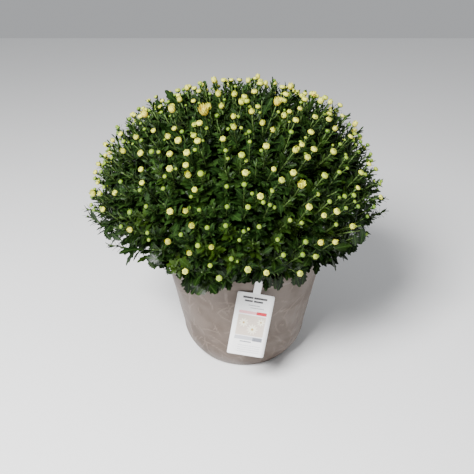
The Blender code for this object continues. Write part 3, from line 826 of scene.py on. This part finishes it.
def make_shoot(number, leaves, stalks, widest, bare):
    """One shoot with its top at the origin, and the tops of its side stalks as (spot, growth).
    widest is the angle in degrees at which its lowest leaves stand off, and bare is the share
    of its length that carries no leaf, under the bud."""
    chance = random.Random(SHOOT_SEED + number)
    bm = bmesh.new()
    bm.verts.layers.float.new("part")
    bend = chance.uniform(-SHOOT_BEND, SHOOT_BEND)
    path = []
    thickness = []
    for step in range(SHOOT_STEPS + 1):
        share = step / SHOOT_STEPS
        path.append(shoot_spot(bend, share))
        thickness.append(SHOOT_TOP_THICKNESS + share * (SHOOT_FOOT_THICKNESS - SHOOT_TOP_THICKNESS))
    tube_into(bm, path, thickness, SHOOT_SIDES)
    spin = chance.uniform(0.0, 2 * math.pi)
    for leaf in range(leaves):
        share = (leaf + 0.6) / leaves
        spin += GOLDEN_TURN + chance.uniform(-0.3, 0.3)
        lean = math.radians(TOP_LEAN + (widest - TOP_LEAN) * share ** 1.2 + chance.uniform(-8, 8))
        out = sideways(spin)
        growth = out * math.sin(lean) + Vector((0, 0, math.cos(lean)))
        facing = Vector((0, 0, math.sin(lean))) - out * math.cos(lean)
        facing += out.cross(Vector((0, 0, 1))) * chance.uniform(-0.5, 0.5)
        size = SMALLEST_LEAF + (LARGEST_LEAF - SMALLEST_LEAF) * share ** 1.1
        edge = YOUNG_LEAF_EDGE if leaf < YOUNG_LEAVES else LEAF_EDGE
        spot = shoot_spot(bend, bare + (LOWEST_LEAF - bare) * share)
        turn = set_square(growth, facing)
        length = size * chance.uniform(*LEAF_SIZES)
        leaf_into(bm, spot, turn, length, edge, LEAF_FOLD, chance.uniform(*LEAF_ARCHES))
    tops = []
    for stalk in range(stalks):
        out = sideways(2 * math.pi * stalk / stalks + chance.uniform(-0.5, 0.5))
        start = shoot_spot(bend, chance.uniform(*STALK_STARTS))
        reach = chance.uniform(*STALK_REACHES)
        top = start + out * reach * 0.55 + Vector((0, 0, reach))
        middle = start + out * reach * 0.4 + Vector((0, 0, reach * 0.4))
        tube_into(bm, [start, middle, top], STALK_THICKNESS, STALK_SIDES)
        tops.append((top, (top - middle).normalized()))
    return new_object(f"sprig_{number}", bm), tops


def make_single_leaf(number, length, fold, arch):
    """One leaf on its own, for the inside, the lower sides and the skirt over the rim."""
    bm = bmesh.new()
    bm.verts.layers.float.new("part")
    leaf_into(bm, Vector(), Matrix.Identity(3), length, LEAF_EDGE, fold, arch)
    return new_object(f"sprig_{number}", bm)


sprigs = []
side_tops = []
for number, (leaves, stalks, widest, bare) in enumerate(SHOOT_KINDS):
    shoot, tops = make_shoot(number, leaves, stalks, widest, bare)
    sprigs.append(shoot)
    side_tops.append(tops)
LOW, BLIND, SMALL_LEAF, BROAD_LEAF, DROOPING_LEAF, LONE_LEAF = range(4, 10)
LONE_LEAF_LENGTH = 0.024
sprigs.append(make_single_leaf(SMALL_LEAF, 0.025, 0.35, 0.15))
sprigs.append(make_single_leaf(BROAD_LEAF, 0.036, 0.25, 0.30))
sprigs.append(make_single_leaf(DROOPING_LEAF, 0.042, 0.20, 0.45))
sprigs.append(make_single_leaf(LONE_LEAF, LONE_LEAF_LENGTH, 0.30, 0.20))
sprig_kinds = kept_collection("sprigs", sprigs)

LEAF_DARK = (0.0015, 0.0056, 0.0009, 1.0)
LEAF_GREEN = (0.0150, 0.041, 0.0070, 1.0)
LEAF_FRESH = (0.120, 0.220, 0.008, 1.0)
LEAF_VEIN = (0.045, 0.095, 0.018, 1.0)
STEM_GREEN = (0.070, 0.115, 0.030, 1.0)
SIDE_VEINS = 7.0
VEIN_SLANT = -1.3
LEAF_CLOUDS = 60.0
SHADED_BELOW = 0.25
SUNLIT_ABOVE = 0.47

foliage, tree, shader = new_material("foliage")
blade = uv_place(tree)
aside = maths(tree, "ABSOLUTE", maths(tree, "SUBTRACT", blade.outputs["X"], 0.5))
midrib = spread(tree, aside, 0.008, 0.030, 1.0, 0.0)
slant = maths(tree, "MULTIPLY_ADD", aside, VEIN_SLANT, blade.outputs["Y"])
wave = maths(tree, "PINGPONG", maths(tree, "MULTIPLY", slant, SIDE_VEINS), 0.5)
veins = maths(tree, "MAXIMUM", midrib, spread(tree, wave, 0.02, 0.10, 0.7, 0.0))
place = object_place(tree)
shade = piece_value(tree, "shade")
clouds = spread(tree, mottle(tree, place, LEAF_CLOUDS), 0.3, 0.7)
level = split(tree, place).outputs["Z"]
sunlit = spread(tree, level, SHADED_BELOW, SUNLIT_ABOVE, 0.28, 1.0)
clouds = maths(tree, "MULTIPLY", clouds, sunlit)
colour = blend(tree, clouds, LEAF_DARK, LEAF_GREEN)
colour = blend(tree, shade, colour, LEAF_FRESH)
colour = blend(tree, maths(tree, "MULTIPLY", veins, 0.45), colour, LEAF_VEIN)
colour = blend(tree, piece_value(tree, "part"), colour, STEM_GREEN)
tree.links.new(colour, shader.inputs["Base Color"])
tree.links.new(spread(tree, clouds, 0.0, 1.0, 0.28, 0.42), shader.inputs["Roughness"])
shader.inputs["Specular IOR Level"].default_value = 0.12
relief(tree, shader, veins, 0.4, 0.0006)


# Buds
# Most shoots end in a bud: a cup of small green bracts that holds tightly furled petals, lime
# green while young and cream as they swell. A few near the top have begun to open.

BUD_RADIUS = 0.0047
BUD_SIDES = 12

# The outlines of the buds, as (radius, height) pairs in bud radiuses
ROUND_BUD = [
    (0.16, 0.00), (0.66, 0.10), (0.95, 0.42), (1.00, 0.78), (0.90, 1.10), (0.64, 1.34),
    (0.34, 1.42), (0.10, 1.34),
]
GREEN_BUD = [
    (0.18, 0.00), (0.70, 0.14), (1.00, 0.58), (0.97, 1.02), (0.70, 1.40), (0.26, 1.60),
    (0.05, 1.58),
]
INNER_BUD = [(0.16, 0.00), (0.62, 0.20), (0.80, 0.80), (0.74, 1.40), (0.40, 2.00), (0.10, 2.30)]

# A petal from its foot to its tip: radius, height and half width, in bud radiuses
PETAL_LINE = [
    (0.30, 0.10, 0.22), (0.92, 0.60, 0.44), (1.08, 1.25, 0.50), (1.00, 1.90, 0.36),
    (0.86, 2.50, 0.04),
]
RIDGE = 0.10
GREEN_RIDGE = 0.03
SWIRL = math.radians(50)


def bud_body(bm, profile, ridge, swirl):
    """Adds a closed bud body. Ridges of furled petals run up it and turn towards its top."""
    uv = uv_layer(bm)
    rings = []
    for number, (radius, level) in enumerate(profile):
        share = number / (len(profile) - 1)
        ring = []
        for side in range(BUD_SIDES):
            furl = 1 + ridge * (-1) ** side * min(1.0, 2 * share)
            angle = 2 * math.pi * side / BUD_SIDES + swirl * share ** 2
            spot = Vector((math.cos(angle) * radius * furl, math.sin(angle) * radius * furl, level))
            ring.append(bm.verts.new(spot * BUD_RADIUS))
        rings.append((ring, share))
    for (lower, low), (upper, high) in zip(rings, rings[1:]):
        for side in range(BUD_SIDES):
            following = (side + 1) % BUD_SIDES
            face = bm.faces.new((lower[side], lower[following], upper[following], upper[side]))
            face.smooth = True
            corners = ((side, low), (side + 1, low), (side + 1, high), (side, high))
            for loop, (around, level) in zip(face.loops, corners):
                loop[uv].uv = (around / BUD_SIDES, level)
    bm.faces.new(reversed(rings[0][0]))
    top = bm.faces.new(rings[-1][0])
    for loop in top.loops:
        loop[uv].uv = (0.0, 1.0)


def petal_into(bm, angle, stretch, flare, width):
    """Adds one upright pointed petal of an opening bud."""
    uv = uv_layer(bm)
    out = sideways(angle)
    side = Vector((-out.y, out.x, 0.0))
    rows = []
    for number, (radius, level, half) in enumerate(PETAL_LINE):
        share = number / (len(PETAL_LINE) - 1)
        middle = out * (radius + flare * share ** 2) + Vector((0, 0, level * stretch))
        row = []
        for aside in (-1, 0, 1):
            spot = middle + side * aside * half * width - out * abs(aside) * half * 0.3
            row.append(bm.verts.new(spot * BUD_RADIUS))
        rows.append((row, share))
    for (lower, low), (upper, high) in zip(rows, rows[1:]):
        for left in range(2):
            face = bm.faces.new((lower[left], lower[left + 1], upper[left + 1], upper[left]))
            face.smooth = True
            corners = ((left, low), (left + 1, low), (left + 1, high), (left, high))
            for loop, (across, level) in zip(face.loops, corners):
                loop[uv].uv = (across * 0.06, 0.3 + 0.6 * level)


def make_bud(number, profile, ridge=RIDGE, petals=0, stretch=1.0, flare=0.0):
    """One kind of bud, standing on the origin."""
    bm = bmesh.new()
    bud_body(bm, profile, ridge, SWIRL)
    for petal in range(petals):
        inner = petal % 2
        angle = 2 * math.pi * petal / petals
        tall = stretch * (1.0 + 0.12 * inner)
        petal_into(bm, angle, tall, flare * (1 - 0.6 * inner), 1.0 - 0.15 * inner)
    return new_object(f"bud_{number}", bm)


ROUND, GREEN, POINTED, OPENING, FLARED = range(5)
bud_shapes = [
    make_bud(ROUND, ROUND_BUD),
    make_bud(GREEN, GREEN_BUD, ridge=GREEN_RIDGE),
    make_bud(POINTED, INNER_BUD, petals=8, stretch=0.82, flare=-0.45),
    make_bud(OPENING, INNER_BUD, petals=10, stretch=1.0, flare=-0.05),
    make_bud(FLARED, INNER_BUD, petals=12, stretch=1.1, flare=0.55),
]
bud_kinds = kept_collection("buds", bud_shapes)

CUP_GREEN = (0.060, 0.150, 0.010, 1.0)
LIME = (0.105, 0.210, 0.008, 1.0)
PALE_LIME = (0.270, 0.390, 0.022, 1.0)
CREAM = (0.800, 0.790, 0.095, 1.0)
APRICOT = (0.930, 0.600, 0.070, 1.0)
# Olive green of the bud's greener heart, also used for painted shade in its creases and dimple
BUD_HEART_AND_SHADE = (0.180, 0.230, 0.010, 1.0)
PETAL_LINES = 10.0
PETAL_TURN = 2.5
CUP_POINTS = 9.0
CUP_HEIGHT = 0.22

bud_petals, tree, shader = new_material("bud_petals")
skin = uv_place(tree)
around = skin.outputs["X"]
rise = skin.outputs["Y"]
shade = piece_value(tree, "shade")
colour = blend(tree, spread(tree, shade, 0.0, 0.35), LIME, PALE_LIME)
colour = blend(tree, spread(tree, shade, 0.30, 0.60), colour, CREAM)
near_foot = spread(tree, rise, 0.4, 0.8, 1.0, 0.25)
apricot = maths(tree, "MULTIPLY", spread(tree, shade, 0.80, 1.0), near_foot)
colour = blend(tree, apricot, colour, APRICOT)
turn = maths(tree, "MULTIPLY", rise, PETAL_TURN)
furled = maths(tree, "PINGPONG", maths(tree, "MULTIPLY_ADD", around, PETAL_LINES, turn), 0.5)
# Painted shade: the creases between the furled petals are darkened towards olive green.
crease_shade = spread(tree, furled, 0.03, 0.24, 0.8, 0.0)
colour = blend(tree, crease_shade, colour, BUD_HEART_AND_SHADE)
# The dimple at the top is darkened: partly the greener heart of the bud, partly painted shade.
closed = spread(tree, shade, 0.7, 0.9, 0.75, 0.2)
dimple_shade = maths(tree, "MULTIPLY", spread(tree, rise, 0.70, 0.86), closed)
colour = blend(tree, dimple_shade, colour, BUD_HEART_AND_SHADE)
scallops = maths(tree, "PINGPONG", maths(tree, "MULTIPLY", around, CUP_POINTS), 0.5)
cup_edge = maths(tree, "MULTIPLY_ADD", scallops, 0.22, CUP_HEIGHT)
green_share = spread(tree, shade, 0.0, 0.5, 0.16, 0.0)
over_cup = maths(tree, "SUBTRACT", rise, maths(tree, "ADD", cup_edge, green_share))
cup = spread(tree, over_cup, -0.03, 0.03, 1.0, 0.0)
colour = blend(tree, cup, colour, CUP_GREEN)
tree.links.new(colour, shader.inputs["Base Color"])
shader.inputs["Roughness"].default_value = 0.5
relief(tree, shader, furled, 0.5, 0.0006)


# Leafy dome
# Nineteen main stems rise from the soil, and each forks into the shoots of one part of the dome.
# The shoots end close under one rounded surface, and larger leaves hang over the rim.

DOME_CENTRE = Vector((-0.016, 0.0, 0.300))
DOME_RADIUS = 0.270
DOME_RISE = 0.236
DOME_DROP = 0.074
DOME_RISE_POWER = 2.2
DOME_DROP_POWER = 2.5
DOME_LEAN = 0.025
CROWN = Vector((-0.010, 0.0, SOIL_TOP))
INNER_STEMS = 6
OUTER_PER_INNER = 2
CENTRE_EDGE = 0.012
CENTRE_SPREAD = 0.25
INNER_EDGE = 0.033
INNER_SPREAD = 0.95
INNER_FOOT = 0.0235
OUTER_FOOT = 0.046


def dome_point(direction, scale):
    """The point of the dome's surface in a direction from its centre."""
    flat = math.hypot(direction.x, direction.y) / DOME_RADIUS
    rising = direction.z > 0
    power = DOME_RISE_POWER if rising else DOME_DROP_POWER
    tall = abs(direction.z) / (DOME_RISE if rising else DOME_DROP)
    size = flat ** power + tall ** power
    offset = direction * (scale * size ** (-1 / power))
    offset.x += DOME_LEAN * max(0.0, offset.z)
    return DOME_CENTRE + offset


def stem_of(point):
    """The name and the foot of the leafy stem that a point of the dome belongs to."""
    offset = point - CROWN
    sector = 2 * math.pi / INNER_STEMS
    angle = math.atan2(offset.y, offset.x)
    number = round(angle / sector) % INNER_STEMS
    reach = offset.dot(sideways(number * sector))
    if reach < CENTRE_EDGE + CENTRE_SPREAD * offset.z:
        return "leafy_stem_centre", CROWN
    if reach < INNER_EDGE + INNER_SPREAD * offset.z:
        return f"leafy_stem_inner_{number + 1}", CROWN + sideways(number * sector) * INNER_FOOT
    beyond = offset.dot(sideways(number * sector + math.pi / 2)) > 0
    order = number * OUTER_PER_INNER + (1 if beyond else 0)
    side = number * sector + (sector / 4 if beyond else -sector / 4)
    return f"leafy_stem_outer_{order + 1:02d}", CROWN + sideways(side) * OUTER_FOOT


SHOOT_ORIGIN = Vector((-0.010, 0.0, 0.160))
SHOOT_SPACING = 0.0240
SHOOT_TRIES = 9000
LOWEST_SHOOT = 0.262
LOW_HEIGHT = 0.22
TOP_RISE = 0.30
TIP_DEPTH = 0.978
TOP_DEPTH = 0.025
LOW_BUD_DEPTH = 0.97
TIP_SCATTER = (-0.03, 0.012)
LUMPS = 9.0
LUMP_DEPTH = 0.06
SHOOT_SWAY = 0.16
SHOOT_SIZES = (0.85, 1.15)
BLIND_SHARE = 0.12
BLIND_SHARE_RISE = 0.16
RIPE_SHARE = 0.05
RIPE_SHARE_RISE = 0.72
GREEN_BUD_SIZES = (0.68, 0.92)
STALKED_SHARE = 0.45
SIDE_BUD_SIZES = (0.45, 0.72)
SIDE_BUD_SHADES = (0.0, 0.4)
DOME_SEED = 21
SIGHT_START = 0.5
SIGHT_STEP = 0.002
SIGHT_STEPS = 700

# Buds that stand out on the real plant: place in the picture, kind, size and shade
NOTABLE_BUD_DEPTH = 0.975
NOTABLE_BUDS = [
    (205, 115, FLARED, 1.35, 1.0), (276, 106, FLARED, 1.1, 0.95), (241, 105, OPENING, 1.0, 0.7),
    (147, 117, OPENING, 1.1, 0.95), (173, 113, OPENING, 1.15, 0.9), (319, 104, OPENING, 1.0, 0.8),
    (290, 90, OPENING, 1.0, 0.9), (219, 97, OPENING, 0.95, 0.8), (252, 114, POINTED, 1.0, 0.65),
    (235, 97, POINTED, 1.05, 0.65), (198, 143, ROUND, 1.15, 0.7), (234, 129, POINTED, 1.0, 0.6),
    (179, 142, ROUND, 1.2, 0.75), (283, 118, POINTED, 1.0, 0.6), (295, 122, ROUND, 1.1, 0.7),
    (300, 187, FLARED, 1.0, 0.85), (294, 152, OPENING, 1.0, 0.75), (200, 125, ROUND, 1.1, 0.7),
    (266, 148, ROUND, 1.15, 0.7), (313, 151, ROUND, 1.1, 0.7), (245, 174, ROUND, 1.1, 0.7),
    (293, 174, ROUND, 1.1, 0.65), (260, 197, ROUND, 1.1, 0.65), (281, 181, ROUND, 1.05, 0.45),
    (201, 175, GREEN, 1.05, 0.3), (171, 212, ROUND, 1.1, 0.75), (310, 134, ROUND, 1.1, 0.6),
]

# The lower edge of the leaves, as places in the picture
LOWER_EDGE = [
    (84, 214), (112, 246), (133, 256), (155, 272), (168, 281), (180, 294), (220, 297), (223, 285),
    (262, 284), (265, 294), (282, 292), (284, 281), (293, 281), (295, 291), (306, 290), (310, 279),
    (319, 272), (344, 263), (354, 257), (369, 249), (382, 205),
]
SHOOT_MARGIN = 13
LEAF_MARGIN = 3

# Tips of shoots that stand out of the dome's sides
STRAY_TIPS = [
    (-0.296, -0.010, 0.298), (-0.290, -0.030, 0.293), (-0.284, 0.000, 0.268), (-0.243, -0.080, 0.258),
    (0.264, 0.000, 0.314), (0.258, -0.040, 0.306), (0.255, 0.000, 0.284),
]

chance = random.Random(DOME_SEED)


def any_direction():
    """A random direction, even over the sphere."""
    level = chance.uniform(-1.0, 1.0)
    angle = chance.uniform(0.0, 2 * math.pi)
    flat = math.sqrt(1 - level ** 2)
    return Vector((flat * math.cos(angle), flat * math.sin(angle), level))


def sight(across, down):
    """The direction in which the camera sees a place of the picture."""
    ahead = Vector((0.0, math.cos(CAMERA_PITCH), -math.sin(CAMERA_PITCH)))
    above = Vector((0.0, math.sin(CAMERA_PITCH), math.cos(CAMERA_PITCH)))
    aside = Vector((across - POT_AXIS_PIXEL, 0.0, 0.0))
    return (ahead * FOCUS_PIXELS + aside + above * (PICTURE / 2 - down)).normalized()


def seen_on_dome(across, down, scale):
    """The nearest point of the scaled dome that the camera sees at a place of the picture."""
    direction = sight(across, down)
    for step in range(SIGHT_STEPS):
        point = CAMERA_PLACE + direction * (SIGHT_START + SIGHT_STEP * step)
        offset = point - DOME_CENTRE
        if offset.length < (dome_point(offset, scale) - DOME_CENTRE).length:
            return point


def seen_at_reach(across, down, reach):
    """The nearest point at a distance from the pot's axis that the camera sees there."""
    direction = sight(across, down)
    flat = direction.x ** 2 + direction.y ** 2
    along = CAMERA_PLACE.x * direction.x + CAMERA_PLACE.y * direction.y
    beyond = CAMERA_PLACE.x ** 2 + CAMERA_PLACE.y ** 2 - reach ** 2
    root = math.sqrt(max(0.0, along ** 2 - flat * beyond))
    return CAMERA_PLACE + direction * ((-along - root) / flat)


def too_low(point, margin):
    """Whether a point lies under the plant's lower edge. The back is trimmed like the front."""
    offset = Vector((point.x, -abs(point.y), point.z)) - CAMERA_PLACE
    tilt = Vector((math.cos(CAMERA_PITCH), math.sin(CAMERA_PITCH)))
    depth = offset.y * tilt.x - offset.z * tilt.y
    above = offset.y * tilt.y + offset.z * tilt.x
    across = POT_AXIS_PIXEL + FOCUS_PIXELS * offset.x / depth
    down = PICTURE / 2 - FOCUS_PIXELS * above / depth
    edge = np.interp(across, [place[0] for place in LOWER_EDGE], [place[1] for place in LOWER_EDGE])
    return down + margin > edge


shoots = []
for across, down, kind, size, shade in NOTABLE_BUDS:
    seen = seen_on_dome(across, down, NOTABLE_BUD_DEPTH)
    shoots.append((seen, True, (kind, size, shade)))
for tip in STRAY_TIPS:
    shoots.append((Vector(tip), True, None))
for attempt in range(SHOOT_TRIES):
    surface = dome_point(any_direction(), 1.0)
    if surface.z < LOWEST_SHOOT or too_low(surface, SHOOT_MARGIN):
        continue
    room = SHOOT_SPACING * chance.uniform(0.75, 1.25)
    if all((surface - other).length > room for other, placed, bud in shoots):
        shoots.append((surface, False, None))


def likely_bud(height):
    """A bud's kind, size and shade for a shoot at a height from 0 to 1, or None."""
    if chance.random() < BLIND_SHARE + BLIND_SHARE_RISE * height:
        return None
    if chance.random() > RIPE_SHARE + RIPE_SHARE_RISE * height:
        return GREEN, chance.uniform(*GREEN_BUD_SIZES), chance.uniform(0.0, 0.30)
    roll = chance.random()
    if roll < 0.09 and height > 0.45:
        return OPENING, chance.uniform(0.85, 1.05), chance.uniform(0.75, 1.0)
    if roll < 0.30 and height > 0.35:
        return POINTED, chance.uniform(0.85, 1.05), chance.uniform(0.55, 0.9)
    return ROUND, chance.uniform(0.84, 1.18), chance.uniform(0.25 + 0.15 * height, 0.72)


sprig_spots = {}
bud_spots = {}
twigs = {}
for tip, placed, bud in shoots:
    name, foot = stem_of(tip)
    height = min(1.0, max(0.0, (tip.z - LOW_HEIGHT) / TOP_RISE))
    if not placed:
        bud = likely_bud(height)
        scale = TIP_DEPTH - TOP_DEPTH * height ** 4 + noise.noise(tip * LUMPS) * LUMP_DEPTH
        scale += chance.uniform(*TIP_SCATTER)
        if bud and height < 0.5:
            scale = max(scale, LOW_BUD_DEPTH)
        tip = DOME_CENTRE + (tip - DOME_CENTRE) * scale
    axis = (tip - SHOOT_ORIGIN).normalized()
    axis = (axis + any_direction() * SHOOT_SWAY).normalized()
    turn = set_square(axis, any_direction())
    size = chance.uniform(*SHOOT_SIZES)
    if not bud:
        kind = BLIND
    elif chance.random() < STALKED_SHARE * height:
        kind = chance.choice((1, 2, 3))
    else:
        kind = 0 if height > 0.5 else LOW
    fresh = max(0.0, chance.gauss(0.01, 0.05)) + (0.0 if bud else 0.02)
    sprig_spots.setdefault(name, []).append((tip, turn.to_euler(), size, kind, fresh))
    twigs.setdefault(name, []).append((foot, tip - axis * SHOOT_LENGTH * size, axis))
    if not bud:
        continue
    bud_kind, bud_size, bud_shade = bud
    spots = bud_spots.setdefault(name, [])
    spots.append((tip, turn.to_euler(), bud_size, bud_kind, bud_shade))
    for top, growth in side_tops[kind]:
        side_turn = set_square(turn @ growth, any_direction())
        side_size = chance.uniform(*SIDE_BUD_SIZES)
        side_shade = chance.uniform(*SIDE_BUD_SHADES)
        spots.append((tip + turn @ (top * size), side_turn.to_euler(), side_size, GREEN, side_shade))

# Leaves that fill the shaded inside
INNER_LEAVES = 3000
INNER_DEPTHS = (0.35, 0.84)
INNER_LOWEST = 0.230
INNER_MARGIN = 12
INNER_SIZES = (0.85, 1.25)

for number in range(INNER_LEAVES):
    direction = any_direction()
    point = dome_point(direction, chance.uniform(*INNER_DEPTHS))
    if point.z < INNER_LOWEST or too_low(point, INNER_MARGIN):
        continue
    growth = (point - SHOOT_ORIGIN).normalized() + any_direction() * 0.9
    turn = set_square(growth, Vector((0, 0, 1)) + any_direction() * 0.5)
    name = stem_of(dome_point(direction, 1.0))[0]
    size = chance.uniform(*INNER_SIZES)
    sprig_spots[name].append((point, turn.to_euler(), size, BROAD_LEAF, 0.0))

# Leaves that close the dome's lower sides, between and under the shoots
COVER_LEAVES = 2000
COVER_DEEPEST = 0.78
COVER_SHALLOWEST = 0.88
COVER_SHALLOWEST_LOW = 0.95
COVER_LOWEST = 0.240
COVER_TOPS = (0.33, 0.43)
COVER_DROP = 0.12
COVER_DROP_BELOW = 0.40
COVER_DROP_RANGE = 0.16
COVER_SIZES = (0.75, 1.1)

for number in range(COVER_LEAVES):
    direction = any_direction()
    shallowest = COVER_SHALLOWEST_LOW if direction.z < 0 else COVER_SHALLOWEST
    point = dome_point(direction, chance.uniform(COVER_DEEPEST, shallowest))
    if point.z < COVER_LOWEST or point.z > chance.uniform(*COVER_TOPS):
        continue
    growth = (point - SHOOT_ORIGIN).normalized() * 0.9 + any_direction() * 0.7
    growth.z -= COVER_DROP * max(0.0, COVER_DROP_BELOW - point.z) / COVER_DROP_RANGE
    turn = set_square(growth, (point - DOME_CENTRE).normalized() + Vector((0, 0, 0.8)))
    name = stem_of(dome_point(direction, 1.0))[0]
    if too_low(point + growth.normalized() * 0.02, LEAF_MARGIN):
        continue
    fresh = max(0.0, chance.gauss(-0.02, 0.05))
    kind = chance.choice((SMALL_LEAF, SMALL_LEAF, SMALL_LEAF, BROAD_LEAF))
    size = chance.uniform(*COVER_SIZES)
    sprig_spots[name].append((point, turn.to_euler(), size, kind, fresh))

# Leaves that hang over the rim all round. Those in front are smaller and rise over the tag.
SKIRT_LEAVES = 260
SKIRT_REACH = (0.140, 0.176)
SKIRT_HEIGHTS = (0.242, 0.258)
SKIRT_SIZES = (0.7, 1.05)
FRONT_HALF = math.radians(48)
FRONT_RISE = 0.45
FRONT_LIFT = 0.006
FRONT_SIZE = 0.75

for number in range(SKIRT_LEAVES):
    angle = 2 * math.pi * (number + chance.uniform(-0.4, 0.4)) / SKIRT_LEAVES
    out = sideways(angle)
    reach = chance.uniform(*SKIRT_REACH)
    point = Vector((0, 0, chance.uniform(*SKIRT_HEIGHTS))) + out * reach
    growth = out + Vector((0, 0, chance.uniform(-0.32, 0.35))) + any_direction() * 0.3
    size = chance.uniform(*SKIRT_SIZES)
    if abs(angle - 1.5 * math.pi) < FRONT_HALF:
        growth.z = abs(growth.z) + FRONT_RISE
        point.z += FRONT_LIFT
        size *= FRONT_SIZE
    if too_low(point + growth.normalized() * 0.03 * size, LEAF_MARGIN):
        continue
    turn = set_square(growth, Vector((0, 0, 1)) + out * 0.6)
    name = stem_of(point + out * 0.08)[0]
    fresh = max(0.0, chance.gauss(0.0, 0.06))
    kind = chance.choice((BROAD_LEAF, DROOPING_LEAF))
    sprig_spots[name].append((point, turn.to_euler(), size, kind, fresh))

# Leaves that hang lowest, as the left and right end of each row in the picture, the place that
# its tips hang down to, and its distance from the pot's axis
HANGING_ROWS = [
    (181, 222, 296, 0.162), (223, 262, 285, 0.162), (264, 283, 293, 0.162), (293, 306, 291, 0.162),
    (306, 320, 275, 0.162), (322, 345, 262, 0.205), (343, 357, 256, 0.232), (356, 369, 248, 0.255),
]
HANGING_STEP = 3.6
HANGING_SPREAD = 5
HANGING_DROPS = (14, 20)
HANGING_OUTWARDS = (0.002, 0.012)

for left, right, lowest, reach in HANGING_ROWS:
    for number in range(int((right - left) / HANGING_STEP)):
        across = left + HANGING_STEP * (number + chance.uniform(0.1, 0.9))
        down = lowest - chance.uniform(0.0, 6.0)
        start = across + chance.uniform(-HANGING_SPREAD, HANGING_SPREAD)
        point = seen_at_reach(start, down - chance.uniform(*HANGING_DROPS), reach)
        growth = seen_at_reach(across, down, reach + chance.uniform(*HANGING_OUTWARDS)) - point
        facing = Vector((chance.uniform(-0.8, 0.8), -1.0, chance.uniform(0.0, 1.2)))
        turn = set_square(growth, facing)
        name, foot = stem_of(point)
        size = growth.length / LONE_LEAF_LENGTH
        fresh = max(0.0, chance.gauss(0.0, 0.03))
        sprig_spots[name].append((point, turn.to_euler(), size, LONE_LEAF, fresh))
        twigs[name].append((foot, point, growth.normalized()))

STEM_THICKNESS = 0.0038
STEM_TAPER = 0.4
STEM_SIDES = 7
STEM_STEPS = 6
STEM_DEPTH = 0.02
STEM_RISE = 0.045
FORK_SHARE = 0.55
FORK_LIFT = 0.012
TWIG_THICKNESS = 0.0014
TWIG_SIDES = 4
TWIG_STEPS = 5


def bent(start, middle, end, steps):
    """Points along a curve that leaves start towards middle and comes to end."""
    path = []
    for step in range(steps + 1):
        share = step / steps
        first = start.lerp(middle, share)
        path.append(first.lerp(middle.lerp(end, share), share))
    return path


for name in sorted(sprig_spots):
    leaves = scattered(f"{name}_leaves", sprig_spots[name], sprig_kinds, 1.0, foliage)
    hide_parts(name)
    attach(leaves, "root")
    buds = scattered(f"{name}_buds", bud_spots[name], bud_kinds, 1.0, bud_petals)
    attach(buds, "root")
    bm = bmesh.new()
    foot = twigs[name][0][0]
    middle = sum((base for other, base, axis in twigs[name]), Vector()) / len(twigs[name])
    fork = foot.lerp(middle, FORK_SHARE) + Vector((0, 0, FORK_LIFT))
    root = foot - Vector((0, 0, STEM_DEPTH))
    rise = foot + Vector((0, 0, STEM_RISE))
    path = bent(root, rise, fork, STEM_STEPS)
    thickness = []
    for step in range(STEM_STEPS + 1):
        thickness.append(STEM_THICKNESS * (1 - STEM_TAPER * step / STEM_STEPS))
    tube_into(bm, path, thickness, STEM_SIDES)
    for other, base, axis in twigs[name]:
        path = bent(fork, fork.lerp(base, 0.5) + (fork - foot) * 0.15, base, TWIG_STEPS)
        thickness = [TWIG_THICKNESS * (1.2 - 0.2 * step / TWIG_STEPS) for step in range(TWIG_STEPS + 1)]
        tube_into(bm, path, thickness, TWIG_SIDES)
    twig_piece = new_object(f"{name}_twigs", bm, foliage)
    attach(twig_piece, "root")

low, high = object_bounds()
